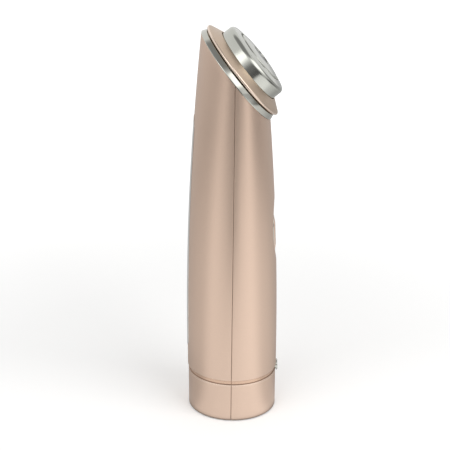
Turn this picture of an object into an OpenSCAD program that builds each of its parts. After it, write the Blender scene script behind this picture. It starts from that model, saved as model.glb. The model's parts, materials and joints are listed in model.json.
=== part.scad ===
// Handheld skin care wand: two moulded half shells, a slanted round treatment head,
// a press-on cotton ring, a sprung push button and a free-standing weighted base.
// Frame: Z up, base underside at Z = 0, button and treatment face towards +X.

/* [Body] */
// Radius of the round base
base_radius = 22.5; // [20:0.05:26]
// Height below which the sides stay upright
taper_start = 40; // [30:1:60]
// Radius of the long arc that narrows the side view
taper_arc = 1440; // [1200:10:2400]
// Backward lean of the centre line, in degrees
lean = 0.83; // [0:0.01:2]
// Height of the front edge of the slanted opening
front_height = 151.3; // [145:0.1:160]
// Slope of the treatment face from horizontal, in degrees
head_tilt = 50.5; // [44:0.5:54]
// Wall of the moulded shells
wall = 2; // [1.6:0.1:2.6]
// Distance of the parting line behind the centre of the base
seam_offset = 0.55; // [0:0.05:1]
// Backward lean of the parting line, in degrees
seam_lean = 0.22; // [0:0.01:0.8]
// Gap along the parting line between the shells
seam_gap = 0.16; // [0.04:0.01:0.3]
// Reach of the front shell's tongue behind the parting line
tongue_reach = 1.2; // [0.8:0.1:1.6]
// Height of the shells' lower edge above the table
shell_lift = 0.5; // [0.3:0.1:1]
// Round-over at the shells' lower edge
foot_round = 0.3; // [0.2:0.1:0.8]

/* [Accent band] */
// Height of the band's lower edge
band_height = 20.2; // [18:0.1:24]
// Width of the band
band_width = 2.1; // [1.4:0.1:3]
// Depth of the band below the shell surface above it
band_depth = 0.75; // [0.5:0.05:0.9]
// Inset of the base below the band
base_step = 0.35; // [0:0.05:0.4]

/* [Button] */
// Height of the button's centre
button_height = 93.25; // [88:0.25:96]
// Length of the button along the body
button_length = 20.5; // [16:0.5:24]
// Width of the button across the body
button_width = 10.5; // [8:0.25:11]
// Travel of the button when it is pressed
button_travel = 0.6; // [0.3:0.1:0.8]
// Rise of the domed button top
button_crown = 1.25; // [0.6:0.05:1.4]
// Height of the button's crown above the outline of the body
button_proud = 0.15; // [0:0.05:0.3]
// Running gap round the button
button_gap = 0.3; // [0.2:0.05:0.4]
// Wall of the bright ring round the button
trim_wall = 0.7; // [0.5:0.1:1]
// Depth of the ring's upper edge below the outline of the body
trim_sink = 0.95; // [0.7:0.05:1.2]
// Length of the dished recess in the shell
dish_length = 34; // [30:0.5:38]
// Depth of the dished recess
dish_depth = 1.75; // [1.2:0.05:1.8]
// Offset of the recess centre above the button centre
dish_shift = 3; // [0:0.25:4]

/* [Treatment head] */
// Height of the bright bezel ring
bezel_height = 2.7; // [2:0.1:3.5]
// Inset of the bezel's upper edge
bezel_taper = 0.95; // [0.4:0.05:1.5]
// Width of the bezel from its foot to its bore
bezel_width = 5.9; // [5.4:0.1:6.4]
// Gap between the bezel's bore and the electrode cup
cup_gap = 1.15; // [1:0.05:1.6]
// Height of the electrode cup's rim above the shells
cup_height = 13.5; // [12.5:0.1:15]
// Radius of the rounded rim of the cup
cup_round = 2.2; // [1.2:0.1:3]
// Sheet thickness of the electrodes
cup_wall = 0.8; // [0.6:0.05:1.2]
// Radius of the domed treatment face
face_arc = 85; // [60:1:120]
// Outer radius of the light ring slit, as a share of the cup's radius
slit_share = 0.717; // [0.65:0.001:0.74]
// Width of the light ring slit
slit_width = 1.1; // [0.8:0.1:1.6]
// Height that the inner electrode stands proud of the domed face
inner_proud = 0.15; // [0.1:0.05:0.8]
// Radius of the window in the middle of the face, as a share of the cup's radius
window_share = 0.27; // [0.2:0.01:0.32]
// Depth of the window below the inner electrode
window_depth = 0.5; // [0.2:0.05:0.8]

/* [Cotton ring] */
// Overhang of the cotton ring past the edge of the shells
collar_overhang = 0.1; // [0:0.05:0.6]
// Height of the cotton ring's widest edge above the shells
collar_edge = 4; // [3.8:0.1:5]
// Height of the cotton ring's upper edge above the shells
collar_top = 7.3; // [6.5:0.1:8.5]
// Radial gap between the cotton ring and the cup
collar_gap = 0.35; // [0.3:0.05:0.6]
// Gap between the cotton ring and the bezel
collar_seat = 0.3; // [0.3:0.05:0.6]

/* [Rear contact plate] */
// Height of the plate's lower end
plate_low = 32.5; // [28:0.5:36]
// Height of the plate's upper end
plate_high = 152; // [146:1:158]
// Half angle that the plate covers round the body
plate_angle = 14; // [12:1:24]
// Thickness of the plate
plate_thick = 0.5; // [0.4:0.05:0.8]
// Height that the plate stands proud of the rear shell
plate_proud = 0.25; // [0.15:0.05:0.35]

/* [Charge lamp] */
// Radius of the lamp's bright bezel
lamp_radius = 2.85; // [2.4:0.05:3.2]
// Radius of the lamp lens
lens_radius = 1.75; // [1.4:0.05:1.9]
// Height that the lamp bezel stands proud
lamp_proud = 0.7; // [0.5:0.05:1]

/* [Inside] */
// Radius of the cell
cell_radius = 9; // [7:0.1:9.2]
// Length of the cell
cell_length = 50; // [34:1:50]
// Height of the cell's lower end
cell_low = 42; // [42:1:44]
// Thickness of the circuit boards
board_thick = 1.6; // [1:0.1:2]
// Thickness of the chassis plate
chassis_thick = 2; // [1.6:0.1:2.4]
// Half width of the chassis plate
chassis_half = 15; // [13:0.5:16]
// Radius of the shells' screw bosses
boss_radius = 3.2; // [3:0.1:3.6]
// Radius of the screw shanks
screw_radius = 1.1; // [0.9:0.05:1.2]
// Radius of the screw heads
screw_head = 2.4; // [2:0.1:2.5]

/* [Base] */
// Thickness of the bottom cover
cover_thick = 3; // [2.6:0.1:3.6]
// Distance of the rubber foot's edge inside the base
foot_inset = 4.5; // [4:0.25:6]
// Thickness of the rubber foot
foot_thick = 1.4; // [1:0.1:1.8]
// Bore radius of the charging socket
jack_bore = 1.8; // [1.5:0.05:2]
// Depth of the charging socket
jack_depth = 10; // [8:0.5:10]
// Distance of the charging socket inside the base's rear edge
jack_inset = 11.5; // [10.5:0.25:13]

/* [Hidden] */

fit = 0.05;
clear = 0.3;
half_steps = 28;
loft_steps = 10;
width_power = 1.6;

// Side view of the body
function drop(z) = pow(max(0, z - taper_start), 2) / (2 * taper_arc);
function side_radius(z) = base_radius - drop(z);
function axis_x(z) = -tan(lean) * z;
function front_x(z) = axis_x(z) + side_radius(z);
function rear_x(z) = axis_x(z) - side_radius(z);
function arc_sag(arc, half) = arc - sqrt(pow(arc, 2) - pow(half, 2));
function side_slope(z) = atan(max(0, z - taper_start) / taper_arc + tan(lean));

// The slanted opening runs from the front edge up to the rear edge
function rear_edge(z, n) =
    n == 0 ? z : rear_edge(front_height + (front_x(front_height) - rear_x(z)) * tan(head_tilt), n - 1);
rear_height = rear_edge(front_height + 2 * base_radius, 12);
head_x = (front_x(front_height) + rear_x(rear_height)) / 2;
head_z = (front_height + rear_height) / 2;
head_radius = norm([front_x(front_height) - rear_x(rear_height), rear_height - front_height]) / 2;

// Loft rings: front height, rear height, half width, inset of the outer skin
loft_low = 30;
function lerp(a, b, t) = a + (b - a) * t;
function half_width(t) = lerp(base_radius, head_radius, pow(max(0, t), width_power));
function loft_ring(t) = [lerp(loft_low, front_height, t), lerp(loft_low, rear_height, t), half_width(t), 0];
function level_ring(z, inset) = [z, z, base_radius, inset];
step_run = 0.04;
band_lip = 0.15;
body_rings = concat(
    [
        level_ring(shell_lift, base_step + foot_round),
        level_ring(shell_lift + 0.3 * foot_round, base_step + 0.3 * foot_round),
        level_ring(shell_lift + foot_round, base_step),
        level_ring(band_height - band_lip, base_step),
        level_ring(band_height, base_step + band_lip),
        level_ring(band_height + step_run, band_depth),
        level_ring(band_height + band_width, band_depth),
        level_ring(band_height + band_width + step_run, 0)
    ],
    [for (i = [0:loft_steps]) loft_ring(i / loft_steps)]
);

function ring_front(r) = [front_x(r[0]), r[0]];
function ring_rear(r) = [rear_x(r[1]), r[1]];
function ring_mid(r) = (ring_front(r) + ring_rear(r)) / 2;
function ring_arm(r) = (ring_front(r) - ring_rear(r)) / 2;
function arm_length(r, inset) = norm(ring_arm(r)) * (1 - inset / ring_arm(r)[0]);
function ring_point(r, inset, a) =
    let (
        dir = ring_arm(r) / norm(ring_arm(r)),
        reach = arm_length(r, inset) * cos(a)
    )
    [ring_mid(r)[0] + reach * dir[0], (r[2] - inset) * sin(a), ring_mid(r)[1] + reach * dir[1]];
// Angle at which a ring crosses a plane a little ahead of the parting line
function cross_angle(r, inset, lead) =
    let (
        dir = ring_arm(r) / norm(ring_arm(r)),
        line_x = lead - seam_offset - tan(seam_lean) * ring_mid(r)[1],
        reach = arm_length(r, inset) * (dir[0] + tan(seam_lean) * dir[1])
    )
    acos((line_x - ring_mid(r)[0]) / reach);

// Skin that follows the body between two insets, as one closed strip from one angle to another.
// Both angles are functions of the ring and the inset.
module strip(rings, outer_inset, inner_inset, steps, first, last) {
    n = steps + 1;
    loop = 2 * n;
    points = [
        for (r = rings)
            let (o = r[3] + outer_inset)
            for (j = [0:loop - 1])
                let (
                    inner = j >= n,
                    k = inner ? loop - 1 - j : j,
                    inset = inner ? inner_inset : o
                )
                ring_point(r, inset, lerp(first(r, inset), last(r, inset), k / steps))
    ];
    sides = [
        for (i = [0:len(rings) - 2], j = [0:loop - 1])
            let (
                a = i * loop + j,
                b = i * loop + (j + 1) % loop,
                c = b + loop,
                d = a + loop
            )
            each [[a, c, b], [a, d, c]]
    ];
    top = (len(rings) - 1) * loop;
    caps = [
        for (j = [0:steps - 1])
            let (a = j, b = j + 1, c = loop - 2 - j, d = loop - 1 - j)
            each [
                [a, b, c],
                [a, c, d],
                [top + a, top + c, top + b],
                [top + a, top + d, top + c]
            ]
    ];
    polyhedron(points = points, faces = concat(sides, caps), convexity = 6);
}

// Places on the body
module at_head(h = 0) {
    translate([head_x, 0, head_z])
        rotate([0, head_tilt, 0])
            translate([0, 0, h])
                children();
}
module at_front(z) {
    translate([front_x(z), 0, z])
        rotate([0, 90 - side_slope(z), 0])
            children();
}

// Slot outline, long way along local X
module slot(length, width) {
    run = (length - width) / 2;
    square([2 * run, width], center = true);
    for (s = [-1, 1])
        translate([s * run, 0])
            circle(d = width, $fn = 48);
}

// Shells
lamp_height = band_height + band_width / 2;
lamp_stem = lens_radius + 0.5;
low_screw = 35;
screw_over_button = 22.25;
screw_under_rim = 9.3;
screw_heights = [low_screw, button_height + screw_over_button, front_height - screw_under_rim];
chassis_x = 0.5;
pilot_gap = fit;
trim_length = button_length + 2 * button_gap + 2 * trim_wall;
trim_width = button_width + 2 * button_gap + 2 * trim_wall;
dish_radius = (pow(dish_length / 2, 2) + pow(dish_depth, 2)) / (2 * dish_depth);
switch_face = -9.5;
switch_board_thick = 1.2;
switch_board_end = 2.25;
switch_board_side = 3;
post_inset = 2;
post_radius = 1.3;
switch_board_length = button_length + 2 * switch_board_end;
switch_board_width = button_width + 2 * switch_board_side;
post_x = switch_board_length / 2 - post_inset;
post_y = switch_board_width / 2 - post_radius;
post_top = 2.4;
pilot_depth = 9;
guide_wall = 1.5;
guide_low = 3.3;
guide_top = 1.9;
pin_height = cell_low + cell_length + 6;
pin_radius = 0.9;
pin_barrel = 1.5;
pin_barrel_length = 10;
head_depth = 7;

module screw_axis(z, x) {
    translate([x, 0, z])
        rotate([0, 90, 0])
            children();
}

module front_shell() {
    color([0.80, 0.64, 0.57])
        difference() {
            union() {
                strip(body_rings, 0, wall, half_steps,
                    function(r, inset) -cross_angle(r, inset, seam_gap / 2),
                    function(r, inset) cross_angle(r, inset, seam_gap / 2));
                for (side = [-1, 1])
                    lip(side, tongue_rings, tongue_insets, [tongue_root, -tongue_reach]);
                for (z = screw_heights)
                    front_boss(z);
                switch_posts();
                button_guide();
            }
            at_front(button_height) {
                translate([-dish_shift, 0, dish_radius - dish_depth])
                    sphere(r = dish_radius, $fn = 200);
                translate([0, 0, -3 * wall])
                    linear_extrude(6 * wall)
                        slot(trim_length + 2 * fit, trim_width + 2 * fit);
            }
            at_front(lamp_height)
                translate([0, 0, -2 * wall])
                    cylinder(r = lamp_stem + fit, h = 4 * wall, $fn = 48);
        }
}

// Tongue of the front shell and rebate of the rear shell along the parting line:
// a strip between two insets and two places ahead of the parting line
tongue_fit = 0.08;
tongue_skin = 0.06;
tongue_root = 1.5;
tongue_insets = [wall / 2 + tongue_fit, wall - tongue_skin];
tongue_rings = concat(
    [for (z = [shell_lift + 1, band_height + band_width + 2]) level_ring(z, 0)],
    [for (i = [1:loft_steps - 1]) loft_ring(i / loft_steps)],
    [loft_ring(0.985)]
);
rebate_insets = [wall / 2, wall + 1];
rebate_rings = concat(
    [for (z = [shell_lift - 1, band_height + band_width + 2]) level_ring(z, 0)],
    [for (i = [1:loft_steps - 1]) loft_ring(i / loft_steps)],
    [loft_ring(1.02)]
);

module lip(side, rings, insets, places) {
    lead = side > 0 ? places[0] : places[1];
    trail = side > 0 ? places[1] : places[0];
    strip(rings, insets[0], insets[1], 2,
        function(r, inset) side * cross_angle(r, inset, lead),
        function(r, inset) side * cross_angle(r, inset, trail));
}

module front_boss(z) {
    back = chassis_x + chassis_thick + fit;
    reach = front_x(z) - wall / 2 - back;
    screw_axis(z, back)
        difference() {
            cylinder(r = boss_radius, h = reach, $fn = 48);
            translate([0, 0, -1])
                cylinder(r = screw_radius + pilot_gap, h = pilot_depth, $fn = 32);
        }
}

module switch_posts() {
    at_front(button_height)
        for (x = [-post_x, post_x], y = [-post_y, post_y])
            translate([x, y, switch_face])
                cylinder(r = post_radius, h = -switch_face - post_top, $fn = 32);
}

// Collar inside the shell that backs the recess and guides the button
module button_guide() {
    at_front(button_height)
        translate([0, 0, -guide_low])
            linear_extrude(guide_low - guide_top)
                slot(trim_length + 2 * guide_wall, trim_width + 2 * guide_wall);
}

module rear_shell() {
    color([0.80, 0.64, 0.57])
        difference() {
            union() {
                difference() {
                    strip(body_rings, 0, wall, half_steps,
                        function(r, inset) cross_angle(r, inset, -seam_gap / 2),
                        function(r, inset) 360 - cross_angle(r, inset, -seam_gap / 2));
                    for (side = [-1, 1])
                        lip(side, rebate_rings, rebate_insets, [1, -tongue_reach - tongue_fit]);
                }
                for (z = screw_heights)
                    rear_boss(z);
            }
            plate_strip(plate_rows(plate_margin), [-1, plate_under + fit], plate_angle + margin_angle);
            for (z = screw_heights)
                rear_bore(z);
            screw_axis(pin_height, rear_x(pin_height) - wall)
                cylinder(r = pin_radius + 2 * fit, h = 3 * wall, $fn = 32);
        }
}

module rear_boss(z) {
    start = rear_x(z) + wall / 2;
    screw_axis(z, start)
        cylinder(r = boss_radius, h = chassis_x - fit - start, $fn = 48);
}

module rear_bore(z) {
    screw_axis(z, rear_x(z) - wall) {
        cylinder(r = screw_radius + 2 * fit, h = 2 * base_radius, $fn = 32);
        cylinder(r = screw_head + fit, h = wall + head_depth, $fn = 40);
    }
}

// Base
cover_low = shell_lift + 0.1;
cover_top = cover_low + cover_thick;
cover_radius = base_radius - wall - 0.15;
cover_rim_high = 2;
cover_rim_gap = 0.4;
cover_rim_wall = 1.2;
foot_outer = base_radius - foot_inset;
jack_offset = base_radius - jack_inset;
jack_wall = 2.2;
jack_wide = 2 * (jack_bore + jack_wall);
jack_mouth = jack_bore + 1.6;
cover_screw_x = -2.5;
cover_screw_y = foot_outer - 2.5;
cover_screw_length = 7;
cover_head = 2.1;
cover_head_high = 1;
cover_seat = foot_thick + fit + cover_head_high;

module bottom_cover() {
    color([0.78, 0.62, 0.55])
        difference() {
            union() {
                translate([0, 0, cover_low])
                    cylinder(r = cover_radius, h = cover_thick, $fn = 96);
                translate([0, 0, cover_top])
                    linear_extrude(cover_rim_high)
                        difference() {
                            circle(r = cover_radius - cover_rim_gap, $fn = 96);
                            circle(r = cover_radius - cover_rim_gap - cover_rim_wall, $fn = 96);
                        }
            }
            translate([0, 0, cover_low - 1])
                cylinder(r = foot_outer + fit, h = 1 + foot_thick - cover_low + fit, $fn = 96);
            translate([-jack_offset, 0, -1])
                cylinder(r = jack_mouth, h = cover_top + 2, $fn = 48);
            for (s = [-1, 1])
                translate([cover_screw_x, s * cover_screw_y, -1]) {
                    cylinder(r = screw_radius + 2 * fit, h = cover_top + 2, $fn = 32);
                    cylinder(r = cover_head + fit, h = cover_seat + 1, $fn = 40);
                }
        }
}

module rubber_foot() {
    color([0.20, 0.19, 0.19])
        difference() {
            cylinder(r = foot_outer, h = foot_thick, $fn = 96);
            translate([-jack_offset, 0, -1])
                cylinder(r = jack_mouth, h = foot_thick + 2, $fn = 48);
        }
}

socket_low = cover_top + fit;
charge_board_low = socket_low + jack_depth + 1.2;
charge_board_half = 10;
charge_board_rear = 5;
charge_board_front = 11;

module charge_socket() {
    color([0.12, 0.12, 0.13])
        difference() {
            translate([-jack_offset - jack_wide / 2, -jack_wide / 2, socket_low])
                cube([jack_wide, jack_wide, charge_board_low - socket_low]);
            translate([-jack_offset, 0, socket_low - 1])
                cylinder(r = jack_bore, h = jack_depth + 1, $fn = 48);
        }
}

module charge_board() {
    color([0.10, 0.32, 0.20])
        translate([-jack_offset - charge_board_rear, -charge_board_half, charge_board_low + fit])
            cube([jack_offset + charge_board_rear + charge_board_front, 2 * charge_board_half, board_thick]);
}

// Chassis and what it carries
chassis_low = charge_board_low + fit + board_thick + fit;
chassis_head = -4;
chassis_disc_rim = 0.7;
disc_thick = 2.2;
cell_x = chassis_x - 1 - cell_radius;
disc_hole = 6;
rib_thick = 2.5;
rib_wing = 2;
rib_inset = 4;
stand_off_high = 2;
stand_off_radius = 2;
board_x = chassis_x + chassis_thick + stand_off_high;
board_half = 13;
board_low = chassis_low + 1;
board_drop = 19.3;
board_high = front_height - board_drop;
foot_post = 2.6;
foot_post_lap = 3;
foot_arm = 3;

module chassis() {
    color([0.88, 0.88, 0.86])
        difference() {
            union() {
                intersection() {
                    translate([chassis_x, -chassis_half, chassis_low])
                        cube([chassis_thick, 2 * chassis_half, head_z]);
                    at_head(chassis_head + disc_thick / 2)
                        mirror([0, 0, 1])
                            cylinder(r = 8 * head_radius, h = 8 * head_radius, $fn = 64);
                }
                at_head(chassis_head)
                    cylinder(r = core_radius - chassis_disc_rim, h = disc_thick, $fn = 96);
                for (place = [rib_inset, cell_length / 2, cell_length - rib_inset - rib_thick])
                    cell_rib(cell_low + place);
                for (z = [cell_low - rib_thick - fit, cell_low + cell_length + fit])
                    translate([cell_x, -cell_radius, z])
                        cube([chassis_x - cell_x + fit, 2 * cell_radius, rib_thick]);
                for (s = [-1, 1], z = [board_low + 2 * stand_off_radius, board_high - 2 * stand_off_radius])
                    translate([chassis_x + fit, s * (board_half - stand_off_radius), z])
                        rotate([0, 90, 0])
                            cylinder(r = stand_off_radius, h = board_x - chassis_x - 2 * fit, $fn = 32);
                for (s = [-1, 1])
                    cover_post(s);
            }
            for (z = screw_heights)
                screw_axis(z, chassis_x - 1)
                    cylinder(r = screw_radius + 2 * fit, h = chassis_thick + 2, $fn = 32);
            screw_axis(pin_height, chassis_x - 1)
                cylinder(r = pin_barrel + 2 * fit, h = chassis_thick + 2, $fn = 32);
            at_head(chassis_head - 1)
                head_screw_places()
                    cylinder(r = screw_radius + 2 * fit, h = disc_thick + 2, $fn = 32);
            at_head(chassis_head - head_high - clear)
                head_screw_places()
                    cylinder(r = screw_head + clear, h = head_high + clear, $fn = 40);
            at_head(chassis_head - 1)
                cylinder(r = disc_hole, h = disc_thick + 2, $fn = 48);
            for (s = [-1, 1])
                translate([cover_screw_x, s * cover_screw_y, cover_top - 1])
                    cylinder(r = screw_radius + pilot_gap, h = cover_screw_length + 1, $fn = 32);
        }
}

module cell_rib(z) {
    difference() {
        translate([cell_x, -cell_radius - rib_wing, z])
            cube([chassis_x - cell_x + fit, 2 * (cell_radius + rib_wing), rib_thick]);
        translate([cell_x, 0, z - 1])
            cylinder(r = cell_radius + 0.1, h = rib_thick + 2, $fn = 64);
    }
}

module cover_post(s) {
    translate([cover_screw_x, s * cover_screw_y, cover_top + fit])
        cylinder(r = foot_post, h = chassis_low + foot_post_lap - cover_top, $fn = 40);
    translate([cover_screw_x, s * (cover_screw_y - foot_post) - foot_arm / 2, chassis_low])
        cube([chassis_x + chassis_thick - cover_screw_x, foot_arm, foot_post_lap]);
}

module battery_cell() {
    tip = 1.5;
    color([0.25, 0.45, 0.62])
        translate([cell_x, 0, cell_low]) {
            cylinder(r = cell_radius, h = cell_length - tip, $fn = 72);
            translate([0, 0, cell_length - tip])
                cylinder(r = cell_radius / 3, h = tip, $fn = 40);
        }
}

module main_board() {
    color([0.10, 0.34, 0.22])
        difference() {
            translate([board_x, -board_half, board_low])
                cube([board_thick, 2 * board_half, board_high - board_low]);
            for (z = screw_heights)
                if (z - boss_radius - clear < board_high)
                    screw_axis(z, board_x - 1)
                        cylinder(r = boss_radius + clear, h = board_thick + 2, $fn = 48);
        }
}

board_face = board_x + board_thick;
transformer_z = 62;
transformer_core = 6.5;
transformer_bore = 1.5;
transformer_rim = 1;
transformer_depth = 6;

// Chips on the board: height, side offset, depth, width and length
lamp_chip = 0.8;
lamp_chip_side = 2;
chip_thick = 1.2;
chip_side = 10;
coil_thick = 1.6;
coil_side = 6;
chips = [
    [lamp_height, 0, lamp_chip, lamp_chip_side, 1.2 * lamp_chip_side],
    [low_screw + 1.1 * chip_side, 0, chip_thick, chip_side, chip_side],
    [low_screw + 1.1 * chip_side, -0.9 * chip_side, coil_thick, 0.7 * coil_side, coil_side],
    [transformer_z + 1.6 * chip_side, 0.7 * chip_side, coil_thick, 1.2 * coil_side, coil_side],
    [transformer_z + 1.6 * chip_side, -0.7 * chip_side, coil_thick, coil_side, 0.8 * coil_side],
    [screw_heights[1], 0.8 * chip_side, chip_thick, 0.7 * chip_side, 0.7 * chip_side]
];
capacitor_z = 26;
capacitor_y = 7;
capacitor_radius = 3;
capacitor_length = 7;

module board_components() {
    color([0.13, 0.13, 0.14])
        for (c = chips)
            translate([board_face, c[1] - c[3] / 2, c[0] - c[4] / 2])
                cube([c[2], c[3], c[4]]);
    color([0.30, 0.32, 0.40])
        for (s = [-1, 1])
            translate([board_face, s * capacitor_y, capacitor_z])
                rotate([0, 90, 0])
                    cylinder(r = capacitor_radius, h = capacitor_length, $fn = 36);
}

module rf_transformer() {
    winding_depth = transformer_depth - 2 * transformer_rim;
    color([0.72, 0.42, 0.22])
        translate([board_face, 0, transformer_z])
            rotate([0, 90, 0])
                rotate_extrude($fn = 64)
                    difference() {
                        translate([transformer_bore, 0])
                            square([transformer_core - transformer_bore, transformer_depth]);
                        translate([0.85 * transformer_core, transformer_rim])
                            square([transformer_core, winding_depth]);
                    }
}

// Button group
flange_low = -4.6;
flange_top = -3.5;
flange_extra = 0.8;
post_low = -6;
post_thick = 2;
trim_low = -3.2;
plunger_top = post_low - button_travel - fit;
plunger_radius = 1.7;
switch_size = 6;
switch_high = 1.6;

module button() {
    dome = (pow(button_length / 2, 2) + pow(button_crown, 2)) / (2 * button_crown);
    color([0.82, 0.66, 0.59])
        at_front(button_height) {
            intersection() {
                translate([0, 0, flange_low])
                    linear_extrude(1 - flange_low)
                        slot(button_length, button_width);
                translate([0, 0, button_proud - dome])
                    sphere(r = dome, $fn = 200);
            }
            translate([0, 0, flange_low])
                linear_extrude(flange_top - flange_low)
                    slot(button_length + 2 * flange_extra, button_width + 2 * flange_extra);
            translate([0, 0, post_low])
                cylinder(r = post_thick, h = flange_low - post_low + fit, $fn = 40);
        }
}

module button_trim_ring() {
    color([0.82, 0.83, 0.84])
        at_front(button_height)
            translate([0, 0, trim_low])
                linear_extrude(-trim_sink - trim_low)
                    difference() {
                        slot(trim_length, trim_width);
                        slot(trim_length - 2 * trim_wall, trim_width - 2 * trim_wall);
                    }
}

module button_switch() {
    color([0.15, 0.15, 0.16])
        at_front(button_height) {
            translate([-switch_size / 2, -switch_size / 2, switch_face])
                cube([switch_size, switch_size, switch_high]);
            translate([0, 0, switch_face + switch_high])
                cylinder(r = plunger_radius, h = plunger_top - switch_face - switch_high, $fn = 36);
        }
}

module switch_board() {
    color([0.10, 0.34, 0.22])
        at_front(button_height)
            translate([0, 0, switch_face - fit - switch_board_thick / 2])
                cube([switch_board_length, switch_board_width, switch_board_thick], center = true);
}

// Rear contact plate: follows the rear shell and stands proud of it
plate_steps = 10;
plate_bays = 8;
plate_margin = 0.12;
plate_under = plate_thick - plate_proud;
plate_half = base_radius * sin(plate_angle);
margin_angle = plate_margin / base_radius * 180 / PI;
end_angles = [12, 32, 52, 70, 90];

// Loft ring whose rear point is at height z, with the share of the plate's angle that it has there
function plate_ring(z, share) = concat(loft_ring((z - loft_low) / (rear_height - loft_low)), share);

// Rings of the plate's outline with rounded ends, a margin larger all round
function plate_rows(margin) =
    let (
        low = plate_low - margin,
        high = plate_high + margin,
        run = high - low - 2 * plate_half
    )
    concat(
        [for (a = end_angles) plate_ring(low + plate_half * (1 - cos(a)), sin(a))],
        [for (i = [1:plate_bays - 1]) plate_ring(low + plate_half + run * i / plate_bays, 1)],
        [for (i = [1:len(end_angles)])
            let (a = end_angles[len(end_angles) - i])
            plate_ring(high - plate_half * (1 - cos(a)), sin(a))]
    );

module plate_strip(rows, insets, angle) {
    strip(rows, insets[0], insets[1], plate_steps,
        function(r, inset) 180 - angle * r[4],
        function(r, inset) 180 + angle * r[4]);
}

module rear_contact_plate() {
    color([0.80, 0.81, 0.82])
        plate_strip(plate_rows(0), [-plate_proud, plate_under], plate_angle);
}

module plate_contact_pin() {
    start = rear_x(pin_height) + plate_under + fit;
    color([0.80, 0.68, 0.35])
        screw_axis(pin_height, start) {
            cylinder(r = pin_radius, h = board_x - start - fit, $fn = 32);
            translate([0, 0, board_x - start - pin_barrel_length])
                cylinder(r = pin_barrel, h = pin_barrel_length - fit, $fn = 32);
        }
}

// Charge lamp on the accent band
lamp_edge = 0.2;
lamp_stem_long = 2.6;

module lamp_bezel() {
    color([0.82, 0.83, 0.84])
        at_front(lamp_height)
            rotate_extrude($fn = 64)
                difference() {
                    union() {
                        translate([0, fit])
                            square([lamp_radius - lamp_edge, lamp_proud - fit]);
                        translate([0, fit])
                            square([lamp_radius, lamp_proud - lamp_edge - fit]);
                        translate([0, -lamp_stem_long])
                            square([lamp_stem, lamp_stem_long + 2 * fit]);
                    }
                    translate([-1, -2 * wall])
                        square([lens_radius + fit + 1, 5 * wall]);
                }
}

module lamp_lens() {
    pipe = front_x(lamp_height) - board_face - lamp_chip - clear;
    dome = pipe + 2;
    color([0.93, 0.93, 0.90])
        at_front(lamp_height)
            rotate_extrude($fn = 64)
                intersection() {
                    translate([0, -pipe])
                        square([lens_radius, pipe + lamp_proud + 1]);
                    translate([0, lamp_proud + 0.1 - dome])
                        circle(r = dome, $fn = 96);
                }
}

// Treatment head, all pieces round about the face's normal
bezel_foot = head_radius + 0.1;
bezel_bore = bezel_foot - bezel_width;
cup_radius = bezel_bore - cup_gap;
ring_outer = slit_share * cup_radius;
ring_inner = ring_outer - slit_width;
window_radius = window_share * cup_radius;
collar_radius = head_radius + collar_overhang;
collar_bore = cup_radius + collar_gap;
collar_nose = 0.5;
core_radius = cup_radius - cup_wall - 0.25;
carrier_low = chassis_head + disc_thick + fit;
carrier_flange = bezel_bore - 0.15;
seal_top = 2.45;
cup_low = seal_top + fit;
cup_inside = cup_height - cup_wall;
led_board_drop = 4.3;
led_board_rim = 1.4;
led_board_low = cup_inside - led_board_drop;
led_board_radius = core_radius - led_board_rim;
led_board_thick = 1.2;
led_count = 12;
led_radius = (ring_inner + ring_outer) / 2;
rim_radius = cup_radius - cup_round;
face_top = cup_height + arc_sag(face_arc, rim_radius);
face_centre = face_top - face_arc;
light_low = cup_inside - 0.7;
light_sink = 0.7;
window_seat = 1.2;
carrier_bore = 6;
carrier_wall = 1.2;
lamp_pad = 0.9;
inner_pin = 1;
inner_pin_place = window_radius + 1.8;
outer_pin = 0.8;
head_screw_inset = 3.7;
head_screw_circle = core_radius - head_screw_inset;
head_screw_length = 8;

module head_screw_places() {
    for (a = [0, 120, 240])
        rotate([0, 0, a])
            translate([head_screw_circle, 0, 0])
                children();
}

module head_bezel() {
    color([0.84, 0.85, 0.86])
        at_head()
            rotate_extrude($fn = 180)
                polygon([
                    [bezel_bore, fit],
                    [bezel_foot, fit],
                    [bezel_foot, 0.35],
                    [bezel_foot - bezel_taper, bezel_height - 0.25],
                    [bezel_foot - bezel_taper - 0.25, bezel_height],
                    [bezel_bore, bezel_height]
                ]);
}

module head_seal() {
    color([0.16, 0.15, 0.15])
        at_head()
            rotate_extrude($fn = 120)
                polygon([
                    [core_radius + fit, 2 * fit],
                    [bezel_bore - fit, 2 * fit],
                    [bezel_bore - fit, 1.4],
                    [cup_radius, seal_top],
                    [core_radius + fit, seal_top]
                ]);
}

module head_carrier() {
    color([0.90, 0.90, 0.88])
        at_head()
            difference() {
                union() {
                    translate([0, 0, carrier_low])
                        cylinder(r = carrier_flange, h = fit - carrier_low, $fn = 120);
                    translate([0, 0, carrier_low])
                        cylinder(r = core_radius, h = led_board_low - fit - carrier_low, $fn = 120);
                    translate([0, 0, led_board_low - 2 * fit])
                        difference() {
                            cylinder(r = core_radius, h = cup_height - cup_round - led_board_low, $fn = 120);
                            translate([0, 0, -1])
                                cylinder(r = core_radius - carrier_wall, h = 2 * cup_height, $fn = 120);
                        }
                }
                translate([0, 0, carrier_low - 1])
                    cylinder(r = carrier_bore, h = 2 * cup_height, $fn = 48);
                translate([0, 0, carrier_low - 1])
                    head_screw_places()
                        cylinder(r = screw_radius + pilot_gap, h = head_screw_length, $fn = 32);
            }
}

module outer_electrode() {
    color([0.78, 0.79, 0.79])
        at_head()
            rotate_extrude($fn = 180)
                difference() {
                    cup_profile(cup_radius, cup_height, cup_round, face_arc);
                    translate([0, -cup_wall])
                        cup_profile(cup_radius - cup_wall, cup_height, cup_round - cup_wall, face_arc);
                    translate([-1, 0])
                        square([ring_outer + 1, 2 * cup_height]);
                }
}

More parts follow.
